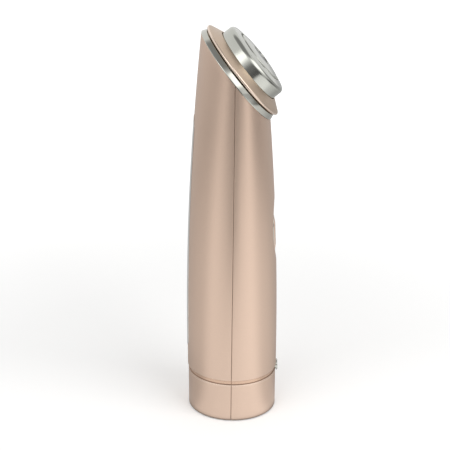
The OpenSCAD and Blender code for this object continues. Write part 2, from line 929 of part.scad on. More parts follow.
// Half section of a cup with a rounded rim and a domed face
module cup_profile(r, h, round, arc) {
    flat = r - round;
    translate([0, cup_low])
        square([flat, h - cup_low]);
    translate([0, cup_low])
        square([r, h - cup_low - round]);
    translate([flat, h - round])
        circle(r = round, $fn = 64);
    intersection() {
        translate([0, h + arc_sag(arc, flat) - arc])
            circle(r = arc, $fn = 360);
        translate([0, h - round])
            square([flat, 2 * round + arc_sag(arc, flat)]);
    }
}

// Round slice of the domed face, from a floor up to a distance below the dome
module face_slice(outer, inner, low, sink) {
    rotate_extrude($fn = 120)
        intersection() {
            translate([0, face_centre])
                circle(r = face_arc - sink, $fn = 360);
            translate([inner, low])
                square([outer - inner, 3 * cup_height]);
        }
}

module light_ring() {
    color([0.22, 0.22, 0.24])
        at_head()
            face_slice(ring_outer - fit, ring_inner + fit, light_low, light_sink);
}

module inner_electrode() {
    color([0.80, 0.81, 0.81])
        at_head()
            difference() {
                face_slice(ring_inner, 0, light_low, -inner_proud);
                translate([0, 0, face_top + inner_proud - window_depth - window_seat])
                    cylinder(r = window_radius, h = 2 * window_seat, $fn = 72);
            }
}

module face_window() {
    color([0.30, 0.30, 0.33])
        at_head()
            translate([0, 0, face_top + inner_proud - window_depth - window_seat + fit])
                cylinder(r = window_radius - fit, h = window_seat - fit, $fn = 72);
}

module led_board() {
    color([0.93, 0.93, 0.91])
        at_head(led_board_low)
            cylinder(r = led_board_radius, h = led_board_thick, $fn = 96);
}

module led_lamps() {
    base = led_board_low + led_board_thick;
    color([0.95, 0.90, 0.70])
        at_head(base)
            for (i = [0:led_count - 1])
                rotate([0, 0, i * 360 / led_count])
                    translate([led_radius, 0, 0])
                        cylinder(r = lamp_pad, h = light_low - base - clear, $fn = 24);
}

module electrode_pins() {
    base = led_board_low + led_board_thick;
    color([0.80, 0.68, 0.35])
        at_head(base)
            for (s = [-1, 1]) {
                translate([s * inner_pin_place, 0, 0])
                    cylinder(r = inner_pin, h = light_low - base - fit, $fn = 32);
                rotate([0, 0, 15])
                    translate([s * (ring_outer + outer_pin + 2 * fit), 0, 0])
                        cylinder(r = outer_pin, h = cup_inside - base - fit, $fn = 32);
            }
}

module cotton_ring() {
    low = bezel_height + collar_seat;
    color([0.82, 0.65, 0.58])
        at_head()
            rotate_extrude($fn = 180)
                polygon([
                    [collar_bore, low],
                    [collar_radius - 2.6, low],
                    [collar_radius - 2.4, low + 0.3],
                    [collar_radius - collar_nose, low + 0.3],
                    [collar_radius, collar_edge - 0.3],
                    [collar_radius, collar_edge + 0.2],
                    [collar_radius - 0.35, collar_edge + 0.6],
                    [collar_bore + 0.5, collar_top],
                    [collar_bore, collar_top]
                ]);
}

// Screws, each with a pan head
head_high = 1.6;
drive_radius = 0.9;
drive_depth = 0.8;
shell_screw_bite = 7;

module pan_screw(length) {
    difference() {
        translate([0, 0, -head_high])
            cylinder(r = screw_head - fit, h = head_high, $fn = 40);
        translate([0, 0, -2 * head_high])
            cylinder(r = drive_radius, h = head_high + drive_depth, $fn = 6);
    }
    cylinder(r = screw_radius, h = length, $fn = 32);
}

module shell_screws() {
    color([0.55, 0.56, 0.58])
        for (z = screw_heights) {
            seat = rear_x(z) + head_depth;
            screw_axis(z, seat)
                pan_screw(chassis_x + chassis_thick + shell_screw_bite - seat);
        }
}

module head_screws() {
    color([0.55, 0.56, 0.58])
        at_head(chassis_head)
            head_screw_places()
                pan_screw(head_screw_length);
}

module cover_screws() {
    color([0.55, 0.56, 0.58])
        for (s = [-1, 1])
            translate([cover_screw_x, s * cover_screw_y, cover_seat - fit]) {
                cylinder(r = screw_radius, h = cover_screw_length, $fn = 32);
                translate([0, 0, fit - cover_head_high])
                    cylinder(r = cover_head, h = cover_head_high, $fn = 40);
            }
}

front_shell();
rear_shell();
bottom_cover();
rubber_foot();
rear_contact_plate();
plate_contact_pin();
button();
button_trim_ring();
button_switch();
switch_board();
lamp_bezel();
lamp_lens();
chassis();
battery_cell();
main_board();
board_components();
rf_transformer();
charge_board();
charge_socket();
head_bezel();
head_seal();
head_carrier();
outer_electrode();
light_ring();
inner_electrode();
face_window();
led_board();
led_lamps();
electrode_pins();
cotton_ring();
shell_screws();
head_screws();
cover_screws();
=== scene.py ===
"""Looks of a handheld skin care wand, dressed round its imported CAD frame.

The housing is a slanted tube of two moulded halves with a satin metallic lacquer, and the
treatment head is a stack of turned rings. Lengths in the classes are millimetres, and
every mesh is written in metres in the CAD frame.
"""

import json
import logging
import math
from collections.abc import Callable, Iterable, Sequence
from dataclasses import dataclass, field
from enum import Enum

import bmesh
import bpy
from mathutils import Matrix, Vector

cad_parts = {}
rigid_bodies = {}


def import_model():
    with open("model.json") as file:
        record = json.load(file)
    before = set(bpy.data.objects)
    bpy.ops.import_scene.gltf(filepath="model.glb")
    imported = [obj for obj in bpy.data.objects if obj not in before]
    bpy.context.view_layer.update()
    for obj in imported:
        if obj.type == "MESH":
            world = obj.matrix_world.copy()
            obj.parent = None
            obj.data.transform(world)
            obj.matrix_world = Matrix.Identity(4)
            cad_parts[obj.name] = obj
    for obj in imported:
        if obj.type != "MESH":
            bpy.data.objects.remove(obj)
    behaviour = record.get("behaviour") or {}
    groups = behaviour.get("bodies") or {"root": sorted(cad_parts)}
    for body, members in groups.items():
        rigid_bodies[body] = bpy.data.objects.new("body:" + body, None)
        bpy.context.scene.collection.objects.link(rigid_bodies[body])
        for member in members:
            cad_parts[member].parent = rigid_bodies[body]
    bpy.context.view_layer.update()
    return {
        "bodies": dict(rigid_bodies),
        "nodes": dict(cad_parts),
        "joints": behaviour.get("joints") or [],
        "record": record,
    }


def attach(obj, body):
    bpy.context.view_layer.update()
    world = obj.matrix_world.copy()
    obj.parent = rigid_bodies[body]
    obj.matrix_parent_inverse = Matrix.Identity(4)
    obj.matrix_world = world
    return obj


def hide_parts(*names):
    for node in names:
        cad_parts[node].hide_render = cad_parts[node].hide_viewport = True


MM = 0.001
WELD = 1e-6  # points nearer than this many metres are one
RING_CREASE = 35.0  # edges over this many degrees stay sharp on turned pieces
SHELL_CREASE = 40.0  # the same on moulded pieces
SLOT_STEPS = 32  # segments of a slot's round end
LOG = logging.getLogger("wand")

Colour = tuple[float, float, float]
Point2 = tuple[float, float]
Point3 = tuple[float, float, float]
Profile = list[Point2]
Object = bpy.types.Object
Material = bpy.types.Material
Node = bpy.types.Node
Socket = bpy.types.NodeSocket
Tree = bpy.types.NodeTree


class Rides(Enum):
    """Bodies that a piece can move with."""

    BODY = "body"
    BUTTON = "push_button"
    RING = "snap_ring"


class Slot(Enum):
    """Material slots of the part's record."""

    SHELL = "shell"
    RUBBER = "rubber"
    CONTACT = "contact_metal"
    TRIM = "bright_trim"
    ELECTRODE = "electrode"
    SMOKED = "smoked_plastic"
    LENS = "lens"
    INNER = "inner_plastic"
    BOARD = "circuit_board"
    COMPONENT = "component"
    WINDING = "winding"
    CELL = "cell"
    PIN = "pin_metal"
    SCREW = "screw_steel"


# ---- node trees ----


def feed(tree: Tree, socket: Socket, value: object) -> None:
    """Links a field or a socket into a socket, or sets its value.

    Args:
        tree: The tree that the socket is in.
        socket: The socket that is fed.
        value: A field, a socket or a plain value.
    """
    if isinstance(value, Field):
        value = value.socket
    if isinstance(value, Socket):
        tree.links.new(value, socket)
    else:
        socket.default_value = value


def grow(tree: Tree, kind: str, *inputs: object, **values: object) -> Node:
    """Adds a node to a tree.

    Args:
        tree: The tree.
        kind: Type of the node.
        inputs: What goes into its first sockets in their order, None to leave one as it is.
        values: Properties of the node, or inputs by their name with spaces as underscores.

    Returns:
        The node.
    """
    node = tree.nodes.new(kind)
    for key, value in values.items():
        name = key.replace("_", " ")
        if name in node.inputs:
            feed(tree, node.inputs[name], value)
        else:
            setattr(node, key, value)
    for socket, value in zip(node.inputs, inputs):
        if value is not None:
            feed(tree, socket, value)
    return node


@dataclass(frozen=True)
class Field:
    """A number that a node tree works out, written with Python's own signs."""

    tree: Tree
    socket: Socket

    def math(self, operation: str, *others: "Field | float", clamp: bool = False) -> "Field":
        """Adds a Math node.

        Args:
            operation: Name of the node's operation.
            others: The second and third operands.
            clamp: Whether the result is held between 0 and 1.

        Returns:
            The node's result.
        """
        node = grow(
            self.tree, "ShaderNodeMath", self, *others, operation=operation, use_clamp=clamp
        )
        return Field(self.tree, node.outputs[0])

    def __add__(self, other: "Field | float") -> "Field":
        """Sum."""
        return self.math("ADD", other)

    def __sub__(self, other: "Field | float") -> "Field":
        """Difference."""
        return self.math("SUBTRACT", other)

    def __mul__(self, other: "Field | float") -> "Field":
        """Product."""
        return self.math("MULTIPLY", other)

    def __truediv__(self, other: "Field | float") -> "Field":
        """Quotient."""
        return self.math("DIVIDE", other)

    def __neg__(self) -> "Field":
        """The number with its sign turned."""
        return self * -1.0

    def rest(self) -> "Field":
        """What is missing to 1."""
        return -self + 1.0

    def eased(self, low: float, high: float) -> "Field":
        """0 up to the lower bound, 1 from the upper one, with a soft run between them.

        Args:
            low: Where the result leaves 0.
            high: Where it reaches 1.

        Returns:
            The eased number.
        """
        node = grow(
            self.tree, "ShaderNodeMapRange", self, low, high, interpolation_type="SMOOTHSTEP"
        )
        return Field(self.tree, node.outputs["Result"])


def distance_2d(x: Field, y: Field) -> Field:
    """Distance of a place from the origin in a plane."""
    return (x * x + y * y).math("SQRT")


@dataclass
class RuleTree:
    """A Geometry Nodes tree with named inputs."""

    name: str
    tree: Tree = field(init=False)

    def __post_init__(self) -> None:
        """Makes the tree with a geometry input and output."""
        self.tree = bpy.data.node_groups.new(self.name, "GeometryNodeTree")
        face = self.tree.interface
        face.new_socket("Geometry", in_out="INPUT", socket_type="NodeSocketGeometry")
        face.new_socket("Geometry", in_out="OUTPUT", socket_type="NodeSocketGeometry")
        self.source = self.tree.nodes.new("NodeGroupInput")
        self.sink = self.tree.nodes.new("NodeGroupOutput")

    def ask(self, name: str, kind: str = "NodeSocketFloat") -> Field:
        """Adds a named input of a socket type and gives it as a field."""
        self.tree.interface.new_socket(name, in_out="INPUT", socket_type=kind)
        return Field(self.tree, self.source.outputs[name])

    def add(self, kind: str, *inputs: object, **values: object) -> Node:
        """Adds a node, with its inputs and values given as to grow."""
        return grow(self.tree, kind, *inputs, **values)

    def attribute(self, name: str) -> Field:
        """Reads a named number of each point."""
        node = self.add("GeometryNodeInputNamedAttribute", data_type="FLOAT", Name=name)
        return Field(self.tree, node.outputs["Attribute"])

    def measure(self, operation: str, *vectors: object) -> Field:
        """A number that a Vector Math node works out."""
        node = self.add("ShaderNodeVectorMath", *vectors, operation=operation)
        return Field(self.tree, node.outputs["Value"])

    def finish(self, geometry: Socket, material: Field) -> None:
        """Ends the tree in Realize Instances and Set Material.

        Args:
            geometry: What the tree has made.
            material: The material's input.
        """
        real = self.add("GeometryNodeRealizeInstances", geometry)
        painted = self.add("GeometryNodeSetMaterial", real.outputs[0], Material=material)
        feed(self.tree, self.sink.inputs[0], painted.outputs[0])

    def apply(self, obj: Object, values: dict[str, object]) -> Object:
        """Runs the tree on an object and turns the result into a plain mesh.

        Args:
            obj: The object that carries the tree's template.
            values: The inputs' values by their names.

        Returns:
            The same object with its plain mesh.
        """
        modifier = obj.modifiers.new(self.name, "NODES")
        modifier.node_group = self.tree
        for item in self.tree.interface.items_tree:
            if item.in_out == "INPUT" and item.name in values:
                modifier[item.identifier] = values[item.name]
        return plain(obj)


def plain(obj: Object) -> Object:
    """Turns an object's evaluated modifiers into a plain mesh and removes them.

    Args:
        obj: The object.

    Returns:
        The same object.
    """
    depsgraph = bpy.context.evaluated_depsgraph_get()
    mesh = bpy.data.meshes.new_from_object(obj.evaluated_get(depsgraph), depsgraph=depsgraph)
    obj.modifiers.clear()
    old, obj.data = obj.data, mesh
    mesh.name = obj.name
    bpy.data.meshes.remove(old)
    return obj


# ---- the body's shape ----


@dataclass(frozen=True)
class BodyShape:
    """Sizes of the wand's outline, the same as in the CAD source, and angles in degrees."""

    base_radius: float = 22.5
    taper_start: float = 40.0
    taper_arc: float = 1440.0
    lean: float = 0.83
    front_height: float = 151.3
    head_tilt: float = 50.5
    wall: float = 2.0
    seam_offset: float = 0.55
    seam_lean: float = 0.22
    seam_gap: float = 0.16
    shell_lift: float = 0.5
    foot_round: float = 0.3
    base_step: float = 0.35
    loft_low: float = 30.0
    width_power: float = 1.6
    band_height: float = 20.2
    band_width: float = 2.1
    band_depth: float = 0.75
    fit: float = 0.05
    button_height: float = 93.25
    solve_steps: int = 13

    def drop(self, z: float) -> float:
        """How far the side has drawn in at a height."""
        return max(0.0, z - self.taper_start) ** 2 / (2 * self.taper_arc)

    def front_x(self, z: float) -> float:
        """X of the front outline at a height."""
        return -math.tan(math.radians(self.lean)) * z + self.base_radius - self.drop(z)

    def rear_x(self, z: float) -> float:
        """X of the rear outline at a height."""
        return -math.tan(math.radians(self.lean)) * z - self.base_radius + self.drop(z)

    def slope(self, z: float) -> float:
        """Angle in degrees between the front outline and the vertical at a height."""
        run = max(0.0, z - self.taper_start) / self.taper_arc
        return math.degrees(math.atan(run + math.tan(math.radians(self.lean))))

    @property
    def rear_height(self) -> float:
        """Height of the slanted opening's rear edge.

        Returns:
            The height in millimetres.
        """
        front, tilt = self.front_height, math.tan(math.radians(self.head_tilt))
        z = front + 2 * self.base_radius
        for _ in range(self.solve_steps):
            z = front + (self.front_x(front) - self.rear_x(z)) * tilt
        return z

    @property
    def head(self) -> tuple[float, float, float]:
        """Centre of the slanted opening, X and Z, and its radius.

        Returns:
            X, Z and the radius, in millimetres.
        """
        rear = self.rear_height
        run = self.front_x(self.front_height) - self.rear_x(rear)
        x = (self.front_x(self.front_height) + self.rear_x(rear)) / 2
        return x, (self.front_height + rear) / 2, math.hypot(run, rear - self.front_height) / 2

    @property
    def head_radius(self) -> float:
        """Radius of the slanted opening."""
        return self.head[2]

    @property
    def band_top(self) -> float:
        """Height of the accent band's upper lip."""
        return self.band_height + self.band_width

    def at_head(self) -> Matrix:
        """Frame on the slanted opening, with Z along the treatment face's normal, in metres.

        Returns:
            The frame's matrix.
        """
        x, z, _ = self.head
        place = Matrix.Translation(Vector((x, 0, z)) * MM)
        return place @ Matrix.Rotation(math.radians(self.head_tilt), 4, "Y")

    def at_front(self, z: float) -> Matrix:
        """Frame on the front outline, with Z along its normal and X downwards, in metres."""
        place = Matrix.Translation(Vector((self.front_x(z), 0, z)) * MM)
        return place @ Matrix.Rotation(math.radians(90 - self.slope(z)), 4, "Y")


SHAPE = BodyShape()


# ---- meshes ----


def link(name: str, data: bpy.types.ID) -> Object:
    """Puts a mesh, a camera or a light into the scene as an object of that name.

    Args:
        name: The object's name.
        data: The mesh, camera or light.

    Returns:
        The object.
    """
    obj = bpy.data.objects.new(name, data)
    bpy.context.scene.collection.objects.link(obj)
    return obj


def smooth(obj: Object, angle: float) -> Object:
    """Shades an object smooth, with its sharper edges kept.

    Args:
        obj: The object.
        angle: Edges over this many degrees stay sharp.

    Returns:
        The same object.
    """
    mesh = obj.data
    mesh.polygons.foreach_set("use_smooth", [True] * len(mesh.polygons))
    mesh.set_sharp_from_angle(angle=math.radians(angle))
    return obj


def tidy_mesh(obj: Object) -> Object:
    """Merges doubles and turns the faces outwards.

    Args:
        obj: The object.

    Returns:
        The same object.
    """
    made = bmesh.new()
    made.from_mesh(obj.data)
    bmesh.ops.remove_doubles(made, verts=made.verts, dist=WELD)
    bmesh.ops.recalc_face_normals(made, faces=made.faces)
    made.to_mesh(obj.data)
    made.free()
    return obj


def rounded(corners: Iterable[Point3], steps: int = 5) -> Profile:
    """Rounds the corners of a closed outline.

    Args:
        corners: X, Y and radius of each corner.
        steps: Segments of each rounded corner.

    Returns:
        The outline's points.
    """
    straight, most = math.radians(176), 0.49
    given = list(corners)
    out: Profile = []
    for i, (x, y, radius) in enumerate(given):
        here = Vector((x, y))
        back = Vector(given[i - 1][:2]) - here
        ahead = Vector(given[(i + 1) % len(given)][:2]) - here
        turn = back.angle(ahead, math.pi)
        if radius <= 0 or turn > straight:
            out.append((x, y))
            continue
        reach = min(radius / math.tan(turn / 2), most * back.length, most * ahead.length)
        away = reach * math.tan(turn / 2) / math.sin(turn / 2)
        centre = here + (back.normalized() + ahead.normalized()).normalized() * away
        start = here + back.normalized() * reach - centre
        end = here + ahead.normalized() * reach - centre
        sweep = start.angle_signed(end)
        for k in range(steps + 1):
            spot = centre + Matrix.Rotation(-sweep * k / steps, 2) @ start
            out.append((spot.x, spot.y))
    return out


def arc(x: float, y: float, radius: float, degrees: Iterable[float], rise: float = 1.0) -> Profile:
    """Points on a circle at angles in degrees, with a factor on their height over its centre."""
    angles = [math.radians(angle) for angle in degrees]
    return [(x + radius * math.cos(a), y + radius * rise * math.sin(a)) for a in angles]


def stadium(length: float, width: float, steps: int) -> Profile:
    """Outline of a slot with round ends, long way along X, anticlockwise.

    Args:
        length: Length over both ends.
        width: Width, and so the diameter of the ends.
        steps: Segments of each round end.

    Returns:
        The outline's points.
    """
    run = (length - width) / 2
    out: Profile = []
    for side in (1, -1):
        for k in range(steps + 1):
            a = math.radians(-90 + 180 * k / steps)
            out.append((side * (run + width / 2 * math.cos(a)), side * width / 2 * math.sin(a)))
    return out


def bridge(made: bmesh.types.BMesh, rows: Sequence[Sequence[bmesh.types.BMVert]]) -> None:
    """Joins each closed ring of points with the next one.

    Args:
        made: The mesh that gets the faces.
        rows: Rings with the same number of points.
    """
    for low, high in zip(rows, rows[1:]):
        for j in range(len(low)):
            k = (j + 1) % len(low)
            made.faces.new((low[j], low[k], high[k], high[j]))


def solid(name: str, made: bmesh.types.BMesh) -> Object:
    """Turns a closed mesh's faces outwards and puts it into the scene.

    Args:
        name: The object's name.
        made: The mesh, which is freed.

    Returns:
        The object.
    """
    bmesh.ops.recalc_face_normals(made, faces=made.faces)
    mesh = bpy.data.meshes.new(name)
    made.to_mesh(mesh)
    made.free()
    return link(name, mesh)


def lofted(name: str, rings: Sequence[Sequence[Vector]], place: Matrix) -> Object:
    """Skins a stack of closed rings and caps both ends.

    Args:
        name: The piece's name.
        rings: Rings with the same number of points, in millimetres.
        place: Frame of the rings, in metres.

    Returns:
        The object.
    """
    made = bmesh.new()
    rows = [[made.verts.new(place @ (point * MM)) for point in ring] for ring in rings]
    bridge(made, rows)
    caps = [made.faces.new(rows[0][::-1]), made.faces.new(rows[-1])]
    bmesh.ops.triangulate(made, faces=caps)
    return solid(name, made)


@dataclass
class TurnedRule:
    """Sweeps a closed profile round a circle, for the turned rings."""

    segments: int = 192

    def __post_init__(self) -> None:
        """Builds the tree."""
        rule = self.rule = RuleTree("turned_ring")
        reach = rule.ask("Path Radius")
        count = rule.ask("Segments", "NodeSocketInt")
        shift = rule.ask("Place", "NodeSocketVector")
        turn = rule.ask("Turn", "NodeSocketVector")
        material = rule.ask("Material", "NodeSocketMaterial")
        line = rule.add("GeometryNodeMeshToCurve", rule.source.outputs["Geometry"])
        path = rule.add("GeometryNodeCurvePrimitiveCircle", Resolution=count, Radius=reach)
        swept = rule.add("GeometryNodeCurveToMesh", path.outputs[0], Profile_Curve=line.outputs[0])
        joined = rule.add("GeometryNodeMergeByDistance", swept.outputs[0], Distance=WELD)
        moved = rule.add(
            "GeometryNodeTransform", Geometry=joined.outputs[0], Translation=shift, Rotation=turn
        )
        rule.finish(moved.outputs[0], material)

    def turned(self, name: str, profile: Profile, place: Matrix, material: Material) -> Object:
        """Makes a turned ring or disc.

        Args:
            name: The piece's name.
            profile: Radius and height of the closed profile's points, in millimetres.
            place: Frame whose Z is the axis, in metres.
            material: What the piece is dressed in.

        Returns:
            The object.
        """
        reach = max(x for x, _ in profile) * MM
        mesh = bpy.data.meshes.new(name)
        points = [(x * MM - reach, -y * MM, 0) for x, y in profile]
        mesh.from_pydata(points, [(i, (i + 1) % len(points)) for i in range(len(points))], [])
        obj = link(name, mesh)
        values = {
            "Path Radius": reach,
            "Segments": self.segments,
            "Place": place.to_translation()[:],
            "Turn": place.to_euler()[:],
            "Material": material,
        }
        return smooth(tidy_mesh(self.rule.apply(obj, values)), RING_CREASE)


@dataclass(frozen=True)
class Dish:
    """The round recess for the thumb, which is cut by a large sphere."""

    shift: float = 3.0
    length: float = 34.0
    depth: float = 1.75
    soft: float = 0.12

    @property
    def radius(self) -> float:
        """Radius of the cutting sphere."""
        return ((self.length / 2) ** 2 + self.depth**2) / (2 * self.depth)

    def centre(self, shape: BodyShape) -> Vector:
        """Centre of the cutting sphere, in millimetres."""
        frame = shape.at_front(shape.button_height)
        return (frame @ (Vector((-self.shift, 0, self.radius - self.depth)) * MM)) / MM

    def normal(self, shape: BodyShape) -> Vector:
        """Outward direction of the recess."""
        return shape.at_front(shape.button_height).to_3x3() @ Vector((0, 0, 1))


@dataclass
class SkinRule:
    """Wraps a template of rows and columns round the slanted, tapering body.

    Each template point carries its row's front height, its share of the half turn, its inset
    and whether it lies on the outside. The rule's inputs are the body's named sizes.
    """

    shape: BodyShape
    dish: Dish
    carried: tuple[str, ...] = ("height", "share", "inset", "outer")

    def __post_init__(self) -> None:
        """Builds the tree."""
        rule = self.rule = RuleTree("body_skin")
        base, start, bend, lean = (
            rule.ask(name) for name in ("Base Radius", "Taper Start", "Taper Arc", "Lean")
        )
        front, rear, head = (
            rule.ask(name) for name in ("Front Height", "Rear Height", "Head Radius")
        )
        low, power, centre, side = (
            rule.ask(name) for name in ("Loft Low", "Width Power", "Centre", "Side")
        )
        cut, slant, fixed, use_fixed = (
            rule.ask(name) for name in ("Cut", "Cut Slant", "Fixed Half", "Use Fixed")
        )
        hub = rule.ask("Dish Centre", "NodeSocketVector")
        axis = rule.ask("Dish Normal", "NodeSocketVector")
        ball, soft = rule.ask("Dish Radius"), rule.ask("Dish Softness")
        material = rule.ask("Material", "NodeSocketMaterial")
        height, share, inset, outer = (rule.attribute(name) for name in self.carried)

        def drop(z: Field) -> Field:
            """How far the side has drawn in at a height."""
            past = (z - start).math("MAXIMUM", 0.0)
            return past * past / (bend * 2.0)

        rise = (height - low).math("MAXIMUM", 0.0)
        back = height + rise * ((rear - low) / (front - low) - 1.0)
        width = base + (head - base) * (rise / (front - low)).math("POWER", power)
        x_front = base - lean * height - drop(height)
        x_rear = drop(back) - lean * back - base
        mid_x, mid_z = (x_front + x_rear) * 0.5, (height + back) * 0.5
        arm_x, arm_z = (x_front - x_rear) * 0.5, (height - back) * 0.5
        inner = (inset / arm_x).rest()
        span = (arm_x + slant * arm_z) * inner
        crossing = (side * (cut - slant * mid_z - mid_x) / span).math("ARCCOSINE")
        half = crossing * use_fixed.rest() + fixed * use_fixed
        angle = centre + share * half
        reach = inner * angle.math("COSINE")
        x, y, z = mid_x + arm_x * reach, (width - inset) * angle.math("SINE"), mid_z + arm_z * reach
        point = rule.add("ShaderNodeCombineXYZ", x, y, z)
        moved = self._dished(point.outputs[0], hub, axis, ball, soft, outer)
        metres = rule.add("ShaderNodeVectorMath", moved, operation="SCALE", Scale=MM)
        placed = rule.add(
            "GeometryNodeSetPosition", rule.source.outputs["Geometry"], Position=metres.outputs[0]
        )
        rule.finish(placed.outputs[0], material)

    def _dished(
        self, point: Socket, hub: Field, axis: Field, ball: Field, soft: Field, outer: Field
    ) -> Socket:
        """Sinks the outer points that lie in the recess's sphere onto it.

        Args:
            point: Places before the recess is made.
            hub: Centre of the sphere.
            axis: Outward direction.
            ball: Radius of the sphere.
            soft: Rounding of the recess's edge.
            outer: 1 for points on the outside.

        Returns:
            The places with the recess.
        """
        rule = self.rule
        away = rule.add("ShaderNodeVectorMath", point, hub, operation="SUBTRACT").outputs[0]
        along = rule.measure("DOT_PRODUCT", away, axis)
        far = rule.measure("LENGTH", away)
        across = far * far - along * along
        surface = -((ball * ball - across).math("MAXIMUM", 0.0).math("SQRT"))
        sunk = along.math("SMOOTH_MIN", surface, soft)
        push = rule.add(
            "ShaderNodeVectorMath", axis, operation="SCALE", Scale=(sunk - along) * outer
        )
        return rule.add("ShaderNodeVectorMath", point, push.outputs[0], operation="ADD").outputs[0]

    def wrap(
        self,
        name: str,
        rows: Sequence[Point2],
        columns: Sequence[tuple[float, float, bool]],
        material: Material,
        front: bool,
        half_angle: float | None = None,
        narrowing: Callable[[float], float] = lambda height: 1.0,
    ) -> Object:
        """Makes one closed skin.

        Args:
            name: The piece's name.
            rows: Front height and outer inset of each row, from the bottom up.
            columns: Share of the half turn, inset and whether it is outside, once round the loop.
            material: What the piece is dressed in.
            front: Whether the skin lies on the front half.
            half_angle: Half of the turn that it covers in degrees, or None for up to the seam.
            narrowing: Factor on the share at a height.

        Returns:
            The object.
        """
        mesh = bpy.data.meshes.new(name)
        count = len(columns)
        data = [
            (height, share * narrowing(height), inset + row_inset * outside, float(outside))
            for height, row_inset in rows
            for share, inset, outside in columns
        ]
        faces = []
        for low in range(0, (len(rows) - 1) * count, count):
            for j in range(count):
                k = (j + 1) % count
                faces.append((low + j, low + k, low + count + k, low + count + j))
        top = (len(rows) - 1) * count
        for j in range(count // 2 - 1):
            a, b, c, d = j, j + 1, count - 2 - j, count - 1 - j
            faces += [(d, c, b, a), (top + a, top + b, top + c, top + d)]
        mesh.from_pydata([(0.0, 0.0, i * MM) for i in range(len(data))], [], faces)
        for k, attribute in enumerate(self.carried):
            layer = mesh.attributes.new(attribute, "FLOAT", "POINT")
            layer.data.foreach_set("value", [row[k] for row in data])
        obj = link(name, mesh)
        shape = self.shape
        values = {
            "Base Radius": shape.base_radius,
            "Taper Start": shape.taper_start,
            "Taper Arc": shape.taper_arc,
            "Lean": math.tan(math.radians(shape.lean)),
            "Front Height": shape.front_height,
            "Rear Height": shape.rear_height,
            "Head Radius": shape.head_radius,
            "Loft Low": shape.loft_low,
            "Width Power": shape.width_power,
            "Centre": 0.0 if front else math.pi,
            "Side": 1.0 if front else -1.0,
            "Cut": (shape.seam_gap if front else -shape.seam_gap) / 2 - shape.seam_offset,
            "Cut Slant": math.tan(math.radians(shape.seam_lean)),
            "Fixed Half": math.radians(half_angle or 0.0),
            "Use Fixed": 0.0 if half_angle is None else 1.0,
            "Dish Centre": self.dish.centre(shape)[:],
            "Dish Normal": self.dish.normal(shape)[:],
            "Dish Radius": self.dish.radius,
            "Dish Softness": self.dish.soft,
            "Material": material,
        }
        made = tidy_mesh(self.rule.apply(obj, values))
        for attribute in self.carried:
            layer = made.data.attributes.get(attribute)
            if layer:
                made.data.attributes.remove(layer)
        return made


def carve(obj: Object, *cutters: Object) -> Object:
    """Cuts other solids out of an object and removes them.

    Args:
        obj: The object to cut.
        cutters: The solids that are taken away.

    Returns:
        The same object.
    """
    for cutter in cutters:
        modifier = obj.modifiers.new("cut", "BOOLEAN")
        modifier.operation = "DIFFERENCE"
        modifier.solver = "EXACT"
        modifier.object = cutter
    plain(obj)
    for cutter in cutters:
        bpy.data.objects.remove(cutter)
    return obj


def merged(obj: Object, *parts: Object) -> Object:
    """Takes other pieces' meshes into an object and removes the pieces.

    Args:
        obj: The object that takes the meshes in.
        parts: The other pieces.

    Returns:
        The same object.
    """
    made = bmesh.new()
    for piece in (obj, *parts):
        made.from_mesh(piece.data)
    made.to_mesh(obj.data)
    made.free()
    for piece in parts:
        bpy.data.objects.remove(piece)
    return obj


def prism(name: str, outline: Profile, low: float, high: float, place: Matrix) -> Object:
    """Straight solid between two heights of a frame, over a closed outline."""
    return lofted(name, [[Vector((x, y, z)) for x, y in outline] for z in (low, high)], place)


def drill(name: str, radius: float, reach: float, place: Matrix) -> Object:
    """Round cutter along a frame's Z, as long on both sides of its origin."""
    return prism(name, arc(0.0, 0.0, radius, range(0, 360, 5)), -reach, reach, place)


def slot_ring(name: str, length: float, width: float, section: Profile, place: Matrix) -> Object:
    """Closed section swept round a slot with round ends.

    Args:
        name: The piece's name.
        length: Length of the slot inside the ring.
        width: Width of the slot inside the ring.
        section: Distance outwards and height of the section's points.
        place: Frame of the slot, in metres.

    Returns:
        The object.
    """
    made = bmesh.new()
    rows = []
    for out, z in section:
        outline = stadium(length + 2 * out, width + 2 * out, SLOT_STEPS)
        rows.append([made.verts.new(place @ (Vector((x, y, z)) * MM)) for x, y in outline])
    bridge(made, rows + rows[:1])
    return solid(name, made)


